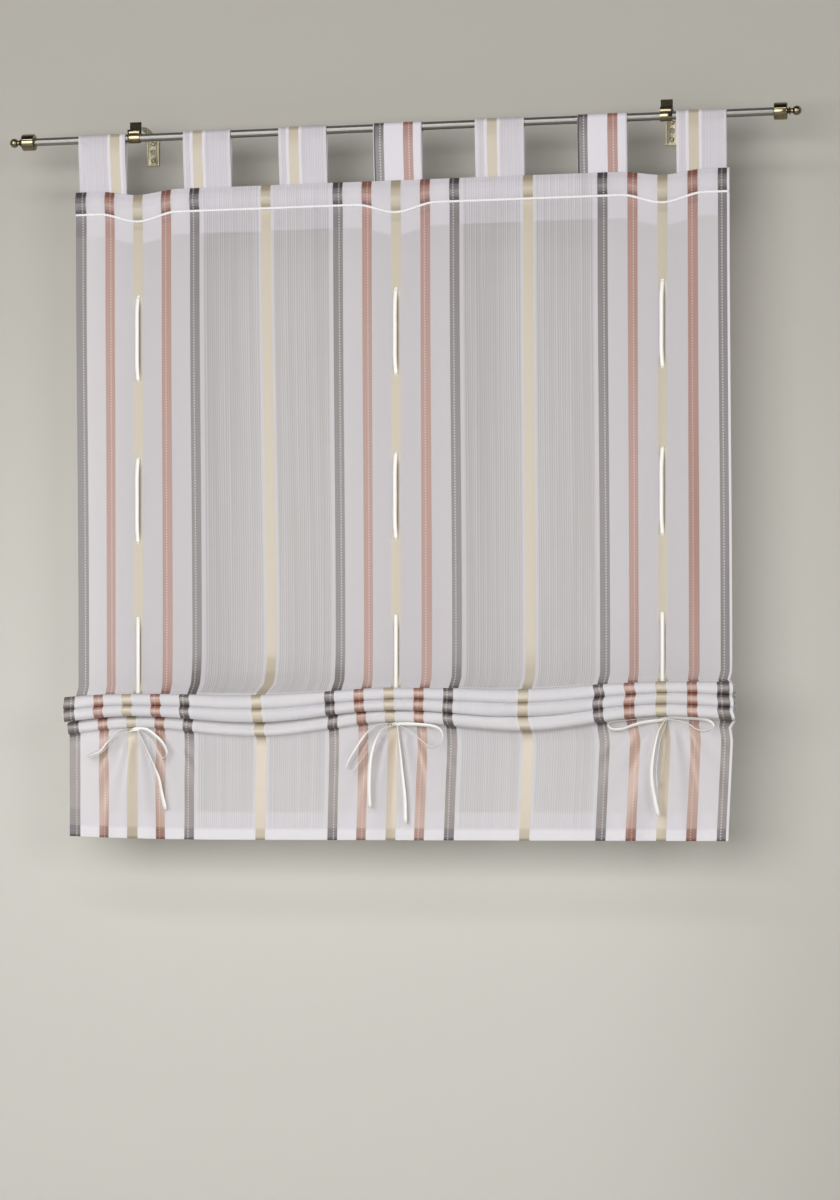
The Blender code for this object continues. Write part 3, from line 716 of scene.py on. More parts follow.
def settle(x, y, z):
    """Where a point of the drawn cloth ends up, with its small waves and creases."""
    top = pleat_top(x)
    right = x + lean(x, z)
    if z > top + 0.004:
        sideways, backwards = pinched(x, z)
        right += sideways
        y += backwards
    waves = soft_noise(x, z, 14, 2.2, 3.1) + 0.5 * soft_noise(x, z, 37, 3, 7.7)
    free = eased((-0.13 - z) / 0.15) * eased((z - top - 0.005) / 0.05)
    if z > top:
        y += WAVE_DEPTH * waves * free * (1 - 0.8 * near_ribbon(x, 0.03))
    folded = eased((top + 0.006 - z) / 0.006) * eased((z - top + 0.066) / 0.01)
    y += CREASE_DEPTH * folded * soft_noise(x, z, 9, 42, 5.0)
    right += CREASE_ASIDE * folded * soft_noise(x, z, 6, 60, 2.0)
    flare = PLEAT_FLARE * eased((x - 0.30) / 0.15) + SELVAGE_FLARE * eased((x - 0.487) / 0.013)
    right += folded * flare
    z += CREASE_RISE * folded * soft_noise(x, z, 12, 38, 9.0)
    skirt = eased((top - 0.062 - z) / 0.02)
    if skirt > 0:
        fall = 0.0
        for column in RIBBON_COLUMNS.values():
            across = x - column - KNOT_ASIDE * 0.5
            down = max(0.02, top + LAST_SLIT - z)
            angle = across / (down + 0.05)
            fade = math.exp(-((across / 0.06) ** 2))
            fall += FALL_DEPTH * math.cos(16 * angle + 3 * column) * fade
        y += skirt * (fall + SKIRT_WAVE_DEPTH * waves)
    return Vector((right, y - ROD_STANDOFF, z))


def cloth_columns():
    """The x of each line of the cloth's grid, closer together near the ribbons."""
    edge = CLOTH_WIDTH / 2
    fixed = {-edge, edge, -edge + 0.003, edge - 0.003}
    for ribbon in RIBBON_COLUMNS.values():
        fixed |= {ribbon - HALF_SLIT, ribbon + HALF_SLIT, ribbon - 0.03, ribbon + 0.03}
    fixed = sorted(fixed)
    columns = []
    for start, end in zip(fixed, fixed[1:]):
        middle = (start + end) / 2
        spacing = 0.0035 if near_ribbon(middle, 0.032) > 0 else 0.0068
        pieces = max(1, math.ceil((end - start) / spacing - 1e-6))
        if any(abs(middle - ribbon) < 1e-5 for ribbon in RIBBON_COLUMNS.values()):
            pieces = 2
        columns += [start + (end - start) * k / pieces for k in range(pieces)]
    return columns + [fixed[-1]]


def add_node(tree, kind, inputs=None, **settings):
    """Adds a node with its settings, and gives or links its inputs."""
    node = tree.nodes.new(kind)
    for name, value in settings.items():
        setattr(node, name, value)
    for socket, value in (inputs or {}).items():
        if isinstance(value, bpy.types.NodeSocket):
            tree.links.new(value, node.inputs[socket])
        else:
            node.inputs[socket].default_value = value
    return node


def new_material(name):
    material = bpy.data.materials.new(name)
    material.use_nodes = True
    return material, material.node_tree, material.node_tree.nodes["Principled BSDF"]


def link(tree, node, socket, value):
    tree.links.new(value, node.inputs[socket])


def rgba(colour):
    return (*colour, 1.0)


def mixed(tree, share, first, second, **settings):
    """One colour over another, by share. Each is a socket or three numbers."""
    colours = [c if isinstance(c, bpy.types.NodeSocket) else rgba(c) for c in (first, second)]
    inputs = {0: share, 6: colours[0], 7: colours[1]}
    node = add_node(tree, "ShaderNodeMix", inputs, data_type="RGBA", clamp_factor=True, **settings)
    return node.outputs[2]


def calculated(tree, operation, *values, clamp=False):
    inputs = dict(enumerate(values))
    return add_node(tree, "ShaderNodeMath", inputs, operation=operation, use_clamp=clamp).outputs[0]


def times(tree, first, second, **settings):
    return calculated(tree, "MULTIPLY", first, second, **settings)


def larger(tree, first, second):
    return calculated(tree, "MAXIMUM", first, second)


def scaled(tree, value, factor, plus):
    return calculated(tree, "MULTIPLY_ADD", value, factor, plus)


def shaded(tree, share, first, second):
    """One shader over another, by share."""
    return add_node(tree, "ShaderNodeMixShader", {0: share, 1: first, 2: second}).outputs[0]


def attribute(tree, name):
    return add_node(tree, "ShaderNodeAttribute", attribute_name=name).outputs["Fac"]


def split(tree, place):
    return add_node(tree, "ShaderNodeSeparateXYZ", {0: place}).outputs


def joined(tree, across, along):
    return add_node(tree, "ShaderNodeCombineXYZ", {0: across, 1: along}).outputs[0]


def cloth_place(tree):
    """Metres across the cloth and along it, from the UVs of a strip or of the cloth."""
    return split(tree, add_node(tree, "ShaderNodeUVMap", uv_map="flat").outputs[0])[:2]


def speckle(tree, place, scale, detail):
    """Soft random grain from 0 to 1."""
    inputs = {"Vector": place, "Scale": scale, "Detail": detail}
    return add_node(tree, "ShaderNodeTexNoise", inputs).outputs[0]


def raise_bumps(tree, shader, height, strength, distance):
    inputs = {"Strength": strength, "Distance": distance, "Height": height}
    link(tree, shader, "Normal", add_node(tree, "ShaderNodeBump", inputs).outputs[0])


def ramped(tree, value, low, high, to_low=0.0, to_high=1.0):
    """A smooth step of value from low to high."""
    node = add_node(
        tree,
        "ShaderNodeMapRange",
        {"Value": value, "From Min": low, "From Max": high, "To Min": to_low, "To Max": to_high},
        interpolation_type="SMOOTHSTEP",
    )
    return node.outputs[0]


def between(tree, share, first, second):
    """A number from first to second, by share."""
    node = add_node(
        tree, "ShaderNodeMix", {0: share, 2: first, 3: second}, data_type="FLOAT", clamp_factor=True
    )
    return node.outputs[0]


def band(tree, value, centre, width):
    """1 in a band of this width around a centre."""
    distance = calculated(tree, "ABSOLUTE", calculated(tree, "SUBTRACT", value, centre))
    return ramped(tree, distance, width / 2 + 0.0004, width / 2 - 0.0004)


def voile_material(settings, name, fine_cover=0.0):
    """Polyester voile, woven with satin stripes and with open cells of coarse slub threads.

    The ground is matt, and light shines through it, so that its folds glow rather than darken;
    in the pleats and the skirt it is also painted whiter and denser, which is painted light.
    The stripes are dense and glossy: they are bright where they face the light and dark in folds,
    partly through their gloss and partly through painted shade and painted highlights, and in
    the skirt they get a painted backlit tint.
    """
    material, tree, shader = new_material(name)
    across, along = cloth_place(tree)
    folded = calculated(tree, "PINGPONG", across, RIBBON_PITCH / 2)
    cream, rose, dark, wide = [band(tree, folded, at, settings.stripe) for at in STRIPES]
    cream = larger(tree, cream, wide)
    # The cloth was cut inside the dark stripe on the left, and has a white selvage on the right
    dark = larger(tree, dark, ramped(tree, across, -0.4972, -0.4978))
    selvage = ramped(tree, across, 0.4960, 0.4968)
    dark = between(tree, selvage, dark, 0.0)
    stripes = larger(tree, larger(tree, dark, rose), cream)

    # Slub threads, each some centimetres long, in the cells between the groups of stripes
    spaced = calculated(tree, "DIVIDE", across, settings.slub)
    threads = joined(tree, spaced, calculated(tree, "DIVIDE", along, SLUB_LENGTH))
    uneven = speckle(tree, threads, 0.35, 1.0)
    phase = scaled(tree, uneven, 9.0, times(tree, across, math.tau / settings.slub))
    pale = scaled(tree, calculated(tree, "SINE", phase), 0.5, 0.5)
    faint, strong = (0.25, 0.4) if fine_cover else (0.35, 1.0)
    lines = times(tree, pale, ramped(tree, uneven, 0.30, 0.70, faint, strong))
    cell = times(
        tree,
        ramped(tree, folded, STRIPES[2] + 0.012, STRIPES[2] + 0.016),
        ramped(tree, folded, STRIPES[3] - 0.010, STRIPES[3] - 0.014),
    )

    # Ladder of pale stitches down the middle of the dark and rose stripes
    ladder = calculated(tree, "SINE", times(tree, along, math.tau / LADDER_STEP))
    ladder = scaled(tree, ladder, 0.5, 0.5)
    rose_middle = times(tree, band(tree, folded, STRIPES[1] - 0.0012, 0.0018), 0.8)
    middle = larger(tree, band(tree, folded, STRIPES[2] - 0.0018, 0.0020), rose_middle)
    dots = times(tree, times(tree, middle, ladder), 0.42)

    # How doubled the cloth is, which makes it whiter and denser; in the pleats and the skirt this is
    # partly painted light.
    hem = attribute(tree, "hem")
    mauve = ramped(tree, folded, STRIPES[2] - 0.0060, STRIPES[2] + 0.0060)
    two_greys = mixed(tree, mauve, settings.dark, settings.mauve)
    colour = mixed(tree, dark, mixed(tree, hem, settings.voile, settings.hem), two_greys)
    colour = mixed(tree, rose, colour, settings.rose)
    colour = mixed(tree, cream, colour, settings.cream)
    # Above 0 the stripes get their colour twice over: the deeper colour of doubled cloth, and painted
    # shade where the cloth folds away. Below 0 they are mixed towards a pale tint: painted highlights
    # on the fronts of folds, and in the skirt painted light that stands in for light shining through
    # from behind.
    depth = times(tree, attribute(tree, "depth"), stripes)
    colour_doubled_and_shaded = mixed(tree, 1.0, colour, colour, blend_type="MULTIPLY")
    colour = mixed(tree, times(tree, depth, 0.35, clamp=True), colour, colour_doubled_and_shaded)
    painted_highlight_and_backlight = times(tree, depth, scaled(tree, dark, 0.25, -0.5), clamp=True)
    colour = mixed(tree, painted_highlight_and_backlight, colour, settings.backlit)
    colour = mixed(tree, dots, colour, settings.hem)
    link(tree, shader, "Base Color", colour)

    open_cell = scaled(tree, lines, SLUB_COVER, settings.open_cover)
    cover = between(tree, cell, settings.plain_cover + fine_cover, open_cell)
    cover = between(tree, stripes, cover, settings.stripe_cover)
    cover = between(tree, larger(tree, selvage, hem), cover, HEM_COVER)
    if fine_cover:
        cover = calculated(tree, "ADD", cover, fine_cover, clamp=True)

    shader.inputs["Specular IOR Level"].default_value = 0.8
    link(tree, shader, "Roughness", scaled(tree, stripes, -0.33, 0.70))
    raise_bumps(tree, shader, lines, 0.2, 0.0003)
    glow = add_node(tree, "ShaderNodeBsdfTranslucent", {"Color": colour}).outputs[0]
    share = scaled(tree, stripes, -settings.glow, settings.glow)
    woven = shaded(tree, share, shader.outputs[0], glow)
    clear = add_node(tree, "ShaderNodeBsdfTransparent").outputs[0]
    seen = shaded(tree, cover, clear, woven)
    link(tree, tree.nodes["Material Output"], "Surface", seen)
    return material


def satin_material(settings):
    """Woven polyester satin: bright threads that run along the ribbon give a soft gloss."""
    material, tree, shader = new_material("polyester satin, woven")
    across, along = cloth_place(tree)
    threads = joined(tree, times(tree, across, 2500.0), times(tree, along, 60.0))
    grain = speckle(tree, threads, 1.0, 2.0)
    dim = tuple(0.86 * value for value in settings.colour)
    link(tree, shader, "Base Color", mixed(tree, grain, dim, settings.colour))
    shader.inputs["Roughness"].default_value = 0.30
    shader.inputs["Sheen Weight"].default_value = 0.3
    raise_bumps(tree, shader, grain, 0.3, 0.0001)
    return material


def thread_material(settings):
    """Polyester sewing thread in a close lockstitch: a white line, ribbed by its stitches."""
    material, tree, shader = new_material("polyester thread, lockstitched")
    _, along = cloth_place(tree)
    stitches = calculated(tree, "SINE", times(tree, along, math.tau / STITCH_LENGTH))
    top = ramped(tree, stitches, -0.9, -0.2)
    link(tree, shader, "Base Color", mixed(tree, top, settings.between_stitches, settings.thread))
    shader.inputs["Roughness"].default_value = 0.6
    raise_bumps(tree, shader, stitches, 0.5, 0.0004)
    return material


def metal_material(name, colour, worn, roughness, grain_scale, wear, relief=0.02):
    """Polished metal with fine scratches, a little duller and paler where it has worn."""
    material, tree, shader = new_material(name)
    place = add_node(tree, "ShaderNodeTexCoord").outputs["Object"]
    drawn = add_node(tree, "ShaderNodeMapping", {"Vector": place, "Scale": (0.03, 1.0, 1.0)})
    grain = speckle(tree, drawn.outputs[0], grain_scale, 4.0)
    patches = speckle(tree, place, 90.0, 3.0)
    share = times(tree, ramped(tree, patches, 0.42, 0.66), wear)
    link(tree, shader, "Base Color", mixed(tree, share, colour, worn))
    rough = ramped(tree, grain, 0.3, 0.7, roughness - 0.03, roughness + 0.05)
    link(tree, shader, "Roughness", rough)
    shader.inputs["Metallic"].default_value = 1.0
    raise_bumps(tree, shader, grain, relief, 0.0001)
    return material


def object_of(name, bm, material):
    """An object of a bmesh, in the scene."""
    mesh = bpy.data.meshes.new(name)
    bm.to_mesh(mesh)
    bm.free()
    mesh.materials.append(material)
    obj = bpy.data.objects.new(name, mesh)
    bpy.context.scene.collection.objects.link(obj)
    return obj


def finish_piece(name, bm, material):
    """Makes a smooth object of a bmesh, which rides on the one body and takes a slot's finish."""
    obj = object_of(name, bm, material)
    obj.data.shade_smooth()
    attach(obj, "root")
    return obj


def woven_strip(route, width, across, columns=2, cut=0.0):
    """A flat strip of cloth on a grid that is laid along a route. Its UVs are metres on the cloth.

    across holds the direction of its width, for each point of the route.
    """
    bm = bmesh.new()
    flat = bm.loops.layers.uv.new("flat")
    doubled = bm.verts.layers.float.new("hem")
    deep = bm.verts.layers.float.new("depth")
    steps = len(route) - 1
    bmesh.ops.create_grid(bm, x_segments=columns, y_segments=steps, size=1.0)
    lengths = [0.0]
    for a, b in zip(route, route[1:]):
        lengths.append(lengths[-1] + (b - a).length)
    uvs = {}
    for vert in bm.verts:
        row = round((vert.co.y + 1) / 2 * steps)
        along = (route[min(row + 1, steps)] - route[max(row - 1, 0)]).normalized()
        side = (across[row] - along * across[row].dot(along)).normalized()
        uvs[vert] = (cut + vert.co.x * width / 2, lengths[row])
        vert[doubled] = 1.0 if abs(vert.co.x) > 0.99 else 0.0
        vert[deep] = TAB_DEPTH
        vert.co = route[row] + side * (vert.co.x * width / 2)
    for face in bm.faces:
        for loop in face.loops:
            loop[flat].uv = uvs[loop.vert]
    return bm, lengths[-1]


def with_thickness(obj, thickness):
    solid = obj.modifiers.new("thickness", "SOLIDIFY")
    solid.thickness = thickness
    solid.offset = 0
    return obj


def slit_centres(x):
    profile = fine_profile(x)
    centres = []
    for row in sorted(profile.slits):
        (y0, z0), (y1, z1) = profile.rows[row], profile.rows[row + 1]
        centres.append(((y0 + y1) / 2, (z0 + z1) / 2))
    return centres


def strand_points(x):
    """The threaded part of a ribbon: behind the cloth, then through one slit after another."""
    step = 0.4 * SLIT_HEIGHT
    centres = slit_centres(x)
    flat = len(slit_heights())
    points = [(x, RIBBON_OFF, stitch_height(x) - RIBBON_START)]
    side = 1
    heights = [height for _, height in centres[:flat]]
    for index, height in enumerate(heights):
        off = side * RIBBON_OFF
        points += [(x, off, height + step), (x, -off, height - step)]
        side = -side
        if index + 1 < flat:
            for share in (0.2, 0.5, 0.8):
                at = height + (heights[index + 1] - height) * share
                aside = RUN_ASIDE if side < 0 else 0.0
                points.append((x - aside, side * 1.8 * RIBBON_OFF, at))
    points.append((x, -RIBBON_OFF, centres[flat][1] + 2 * SLIT_HEIGHT))
    points += [(x, y, z) for y, z in centres[flat:-1]]
    last_y, last_z = centres[-1]
    points += [
        (x, last_y + 0.0080, last_z + 0.0110),
        (x, last_y + 0.0022, last_z + 0.0020),
        (x, last_y - KNOT_FORWARD, last_z - 0.0015),
    ]
    return [Vector((px + lean(px, z), y - ROD_STANDOFF, z)) for px, y, z in points]


def strand(column, part):
    """The route of a loop or a tail from the knot. A loop leaves above it and comes back below it."""
    if part in LOOP_ACROSS:
        return ((0, 0, KNOT_RISE), *BOWS[column][part], (0, 0, -KNOT_RISE))
    return ((0, 0, 0), *BOWS[column][part])


class CURTAIN_OT_camera(bpy.types.Operator):
    """Sets the camera at the height of the pleats, to the right of the curtain"""

    bl_idname = "curtain.camera"
    bl_label = "Camera"

    def execute(self, context):
        data = bpy.data.cameras.new("camera")
        data.lens = LENS
        data.sensor_width = 36.0
        data.shift_y = LENS_SHIFT
        camera = bpy.data.objects.new("camera", data)
        camera.location = CAMERA_PLACE
        camera.rotation_euler = (math.radians(90), 0, math.radians(CAMERA_TURN))
        context.scene.collection.objects.link(camera)
        context.scene.camera = camera
        return {"FINISHED"}


class CURTAIN_OT_ribbons(bpy.types.Operator):
    """Adds the three satin ribbons with their bows"""

    bl_idname = "curtain.ribbons"
    bl_label = "Tie ribbons"

    def execute(self, context):
        settings = context.scene.curtain_ribbons
        satin = satin_material(settings)
        for name, x in RIBBON_COLUMNS.items():
            points = strand_points(x)
            knot_place = points[-1] + Vector((KNOT_ASIDE, 0, 0.0015))
            knot = self.knot(name, knot_place, satin)
            threaded, sewn = BOW_ENDS[name]
            self.ribbon(f"ribbon_{name}", points, knot_place, name, threaded, satin, knot)
            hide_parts(f"tie_ribbon_{name}")
            points = self.sewn_points(name, x)
            self.ribbon(f"ribbon_{name}_sewn", points, knot_place, name, sewn, satin, None)
        return {"FINISHED"}

    def ribbon(self, name, points, knot_place, column, parts, satin, knot):
        """One end of a ribbon: up to the knot, round a loop of the bow, and down in a tail."""
        settings = bpy.context.scene.curtain_ribbons
        flat_across = Vector((1, 0, 0))
        across = [flat_across] * len(points)
        points = list(points) + [knot_place - Vector((0.5 * KNOT_ASIDE, 0, 0))]
        across.append(Vector((0, -0.3, 1)))
        for part in parts:
            steps = strand(column, part)
            for step, (right, room, up) in enumerate(steps):
                points.append(knot_place + Vector((right, -room, up)))
                across.append(self.turned(column, part, step, len(steps) - 1))
        route = smoothed(points, 5)
        bm, length = woven_strip(route, settings.width, smoothed(across, 5))
        ribbon = finish_piece(name, bm, satin)
        with_thickness(ribbon, RIBBON_THICKNESS)

    def turned(self, column, part, step, last):
        """The direction of the ribbon's width at a step of a loop or a tail."""
        usual = (TAIL_START_ACROSS, TAIL_END_ACROSS)
        if part in LOOP_ACROSS:
            usual = (LOOP_ACROSS[part], LOOP_END_ACROSS)
        start, end = TURNED_STRANDS.get((column, part), usual)
        turned = Vector(start).lerp(Vector(end), eased(step / last))
        if part in LOOP_START_ACROSS:
            turned = turned.lerp(Vector(LOOP_START_ACROSS[part]), eased(1.5 - step / 3))
        return turned

    def sewn_points(self, name, x):
        """The end that is sewn behind the skirt, from its lower end up to the knot."""
        y, z = slit_centres(x)[-1]
        aside, drop = LOWER_ENDS[name]
        points = (
            (x + aside, y + 0.0055, z + drop),
            (x + 0.2 * aside, y + 0.0050, z + 0.2 * drop),
            (x, y + 0.0034, z - 0.0030),
            (x, y + 0.0010, z - 0.0005),
            (x, y - KNOT_FORWARD, z - 0.0015),
        )
        return [settle(px, py, pz) for px, py, pz in points]

    def knot(self, name, place, satin):
        """The ribbon's turn around itself: a small rounded band, pinched where it is pulled tight."""
        bm = bmesh.new()
        bmesh.ops.create_cube(bm, size=1.0)
        bmesh.ops.subdivide_edges(bm, edges=bm.edges[:], cuts=3, use_grid_fill=True)
        for vert in bm.verts:
            reach = vert.co.normalized() * 0.5
            vert.co = vert.co.lerp(reach, 0.65)
            pinch = 1 - 0.3 * math.exp(-((vert.co.x / 0.18) ** 2))
            long, deep, high = KNOT_SIZE
            vert.co *= Vector((long, deep * pinch, high * pinch))
        bmesh.ops.translate(bm, verts=bm.verts, vec=place)
        bm.loops.layers.uv.new("flat")
        return finish_piece(f"knot_{name}", bm, satin)


class CURTAIN_OT_cloth(bpy.types.Operator):
    """Adds the striped voile with its folded hems, three pleats and skirt"""

    bl_idname = "curtain.cloth"
    bl_label = "Cloth"

    def execute(self, context):
        settings = context.scene.curtain_cloth
        voile = voile_material(settings, "polyester voile, striped weave")
        columns = cloth_columns()
        profiles = [fine_profile(x) for x in columns]
        rows = len(profiles[0].rows)
        bm = bmesh.new()
        flat = bm.loops.layers.uv.new("flat")
        doubled = bm.verts.layers.float.new("hem")
        deep = bm.verts.layers.float.new("depth")
        bmesh.ops.create_grid(
            bm, x_segments=len(columns) - 1, y_segments=rows - 1, size=1.0
        )
        lengths = []
        for profile in profiles:
            total = [0.0]
            for a, b in zip(profile.rows, profile.rows[1:]):
                total.append(total[-1] + math.dist(a, b))
            lengths.append(total)
        cells = {}
        for vert in bm.verts:
            column = round((vert.co.x + 1) / 2 * (len(columns) - 1))
            row = round((vert.co.y + 1) / 2 * (rows - 1))
            cells[vert] = (column, row)
        cut = []
        for face in bm.faces:
            column = min(cells[vert][0] for vert in face.verts)
            row = min(cells[vert][1] for vert in face.verts)
            in_slit = any(
                -HALF_SLIT - 0.0001 < columns[column] - ribbon < HALF_SLIT - 0.0001
                for ribbon in RIBBON_COLUMNS.values()
            )
            if in_slit and row in profiles[0].slits:
                cut.append(face)
            for loop in face.loops:
                place = cells[loop.vert]
                loop[flat].uv = (columns[place[0]], lengths[place[0]][place[1]])
        hem_rows = [self.doubled(profiles[0], row) for row in range(rows)]
        depth_and_shade_rows = [self.depth(profiles[0], row) for row in range(rows)]
        for vert, (column, row) in cells.items():
            y, z = profiles[column].rows[row]
            vert.co = settle(columns[column], y, z)
            vert[doubled] = hem_rows[row]
            # Painted shade under the header's seam is added to the stripes' attribute.
            vert[deep] = depth_and_shade_rows[row] + shade_under_seam(columns[column], z)
        bmesh.ops.delete(bm, geom=cut, context="FACES")
        bmesh.ops.reverse_faces(bm, faces=bm.faces)
        cloth = finish_piece("curtain_voile", bm, voile)
        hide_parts("curtain_cloth")
        seam = self.seam(columns, profiles)
        return {"FINISHED"}

    def doubled(self, profile, row):
        """How dense the cloth looks: 1 in the bottom hem, and 0 where it is single and drawn flat.

        The header and the pleats are in between, the pleats partly as painted light that whitens
        their shaded grooves; so is the loose skirt, which hangs in folds, where the density is
        painted light that stands in for light shining through from behind.
        """
        part = profile.parts[row]
        height = profile.rows[row][1]
        if part == "skirt":
            return 1.0 if height < BOTTOM_EDGE + BOTTOM_RISE + BOTTOM_HEM + 0.001 else SKIRT_DENSE_PAINTED_LIGHT
        if part == "hem":
            return HEADER_DENSE if height > stitch_height(profile.x) - 0.001 else 0.0
        return PLEATS_DENSE_AND_PAINTED_LIGHT if part == "pleats" else 0.0

    def depth(self, profile, row):
        """How deep the colour of the stripes looks, as the photo shows it.

        It is deepest, a painted shade, where their glossy threads turn away in a fold and just under
        the pleats; painted highlights make it pale on the fronts of the pleats and in the middle of
        the header, and a painted paleness in the skirt stands in for light coming through from
        behind. In the bottom hem it adds the deeper colour of doubled cloth.
        """
        part = profile.parts[row]
        height = profile.rows[row][1]
        # Skirt: painted backlit paleness, painted shade just under the pleats, the doubled hem's
        # deeper colour, and painted shade at its bottom fold.
        if part == "skirt":
            above = height - BOTTOM_EDGE - BOTTOM_RISE
            if above > BOTTOM_HEM + 0.001:
                under_pleats = eased((height - pleat_top(profile.x) + 0.070) / 0.012)
                return SKIRT_PAINTED_BACKLIGHT + UNDER_PLEATS_PAINTED_SHADE * under_pleats
            return BOTTOM_HEM_DEPTH if above > BOTTOM_FOLD_HEIGHT else BOTTOM_FOLD_PAINTED_SHADE
        # Painted shade where the slack cloth turns into the pleats.
        if part == "slack":
            return SLACK_PAINTED_SHADE * eased((pleat_top(profile.x) + 0.016 - height) / 0.012)
        # Painted shade where a pleat turns away, painted highlight on its front.
        if part == "pleats":
            before, after = profile.rows[row - 1], profile.rows[row + 1]
            facing = abs(after[1] - before[1]) / (math.dist(before, after) + 1e-9)
            return PLEAT_EDGE_PAINTED_SHADE - PLEAT_FRONT_PAINTED_HIGHLIGHT * facing
        stitch = stitch_height(profile.x)
        # Painted shade at the header's folded edges, painted highlight in its middle.
        if part == "hem" and height > stitch - 0.001:
            off_middle = 2 * (height - stitch) / (hem_top(profile.x) - stitch) - 1
            return HEADER_EDGE_PAINTED_SHADE * abs(off_middle) ** 0.8 - HEADER_MIDDLE_PAINTED_HIGHLIGHT
        return 0.0

    def seam(self, columns, profiles):
        """The close row of stitches that holds the header hem, raised along its lower edge."""
        thread = thread_material(bpy.context.scene.curtain_cloth)
        route = []
        for x in columns:
            z = stitch_height(x)
            route.append(settle(x, -(CLOTH_THICKNESS + LAYER_GAP) / 2 - SEAM_OFF, z))
        bm, _ = woven_strip(route, SEAM_WIDTH, [Vector((0, 0, 1))] * len(route))
        seam = finish_piece("header_seam", bm, thread)
        return with_thickness(seam, SEAM_THICKNESS)


class CURTAIN_OT_tabs(bpy.types.Operator):
    """Adds the seven tabs of doubled voile that carry the cloth"""

    bl_idname = "curtain.tabs"
    bl_label = "Tabs"

    def execute(self, context):
        settings = context.scene.curtain_cloth
        voile = voile_material(settings, "polyester voile, doubled", TAB_EXTRA_COVER)
        turn = (CLOTH_THICKNESS + LAYER_GAP) / 2
        first = turn + CLOTH_THICKNESS / 2 + LAYER_GAP + TAB_THICKNESS / 2
        second = first + TAB_THICKNESS + LAYER_GAP
        radius = ROD_RADIUS + CLEARANCE + TAB_THICKNESS / 2
        for number, (centre, cut) in enumerate(zip(TAB_CENTRES, TAB_CUTS), 1):
            end = HEM_TOP - TAB_LAP
            path = (
                [(first, end), (first, HEM_TOP)]
                + [(first - 0.004, -0.055), (-radius * 0.9, -0.025), (-radius, -0.010)]
                + arc(0, 0, radius, 180, 0, 12)
                + [(radius, -0.010), (radius * 0.95, -0.025), (second + 0.002, -0.055)]
                + [(second, HEM_TOP), (second, end)]
            )
            route = smoothed([Vector((centre, y - ROD_STANDOFF, z)) for y, z in path], 2)
            across = [Vector((1, 0, 0))] * len(route)
            bm, length = woven_strip(route, TAB_WIDTH, across, 16, cut)
            tab = finish_piece(f"tab_{number}_voile", bm, voile)
            with_thickness(tab, CLOTH_THICKNESS)
            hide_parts(f"tab_{number}")
        return {"FINISHED"}


class CURTAIN_OT_rod_set(bpy.types.Operator):
    """Adds the finials and brackets, and gives the rod and screws their finishes"""

    bl_idname = "curtain.rod_set"
    bl_label = "Rod set"

    def execute(self, context):
        settings = context.scene.curtain_metals
        steel = metal_material("steel tube, drawn", settings.steel, settings.steel, 0.36, 900, 0)
        brass = metal_material(
            "antique brass, polished", settings.brass, settings.worn, 0.10, 1200, 0.12
        )
        brushed = metal_material(
            "antique brass, brushed", settings.plate, settings.worn, 0.42, 1200, 0.25, 0.05
        )
        zinc = metal_material("zinc-plated steel", settings.screw, settings.screw, 0.35, 1500, 0)
        for name, material in (("rod", steel), ("screw", zinc)):
            for obj in bpy.data.objects:
                if obj.type == "MESH" and (obj.name == name or obj.name.startswith(name + "_")):
                    for slot in obj.material_slots:
                        slot.material = material
        for side, sign in (("left", -1), ("right", 1)):
            self.finial(f"finial_{side}", sign, brass)
            self.bracket(f"bracket_{side}", brass, brushed)
        return {"FINISHED"}

    def finial(self, node, sign, brass):
        """A turned cap with rolled edges, a neck with a ring, and a ball."""
        bm = bmesh.new()
        for (x0, r0), (x1, r1) in zip(FINIAL_PROFILE, FINIAL_PROFILE[1:]):
            pair = [bm.verts.new((x, 0, max(r, 1e-5))) for x, r in ((x0, r0), (x1, r1))]
            bm.edges.new(pair)
        bmesh.ops.remove_doubles(bm, verts=bm.verts, dist=1e-7)
        bmesh.ops.spin(
            bm,
            geom=bm.verts[:] + bm.edges[:],
            axis=(1, 0, 0),
            cent=(0, 0, 0),
            angle=math.tau,
            steps=48,
            use_merge=True,
        )
        bmesh.ops.remove_doubles(bm, verts=bm.verts, dist=2e-5)
        for vert in bm.verts:
            vert.co.x = sign * (ROD_LENGTH / 2 - CAP_GRIP + vert.co.x)
            vert.co.y -= ROD_STANDOFF
        bmesh.ops.recalc_face_normals(bm, faces=bm.faces)
        finial = finish_piece(f"{node}_turned", bm, brass)
        finial.data.set_sharp_from_angle(angle=math.radians(40))
        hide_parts(node)

    def bracket(self, node, brass, brushed):
        """The bracket's own shape with rolled edges, and a duller finish on its wall plate."""
        bm = bmesh.new()
        bm.from_mesh(bpy.data.objects[node].data)
        bmesh.ops.remove_doubles(bm, verts=bm.verts, dist=1e-6)
        bmesh.ops.recalc_face_normals(bm, faces=bm.faces)
        for face in bm.faces:
            face.material_index = 1 if face.calc_center_median().y > -0.006 else 0
        bracket = finish_piece(f"{node}_bent", bm, brass)
        bracket.data.materials.append(brushed)
        rolled = bracket.modifiers.new("rolled edges", "BEVEL")
        rolled.width = 0.0003
        rolled.segments = 2
        rolled.limit_method = "ANGLE"
        rolled.angle_limit = math.radians(40)
        bracket.data.set_sharp_from_angle(angle=math.radians(40))
        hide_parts(node)


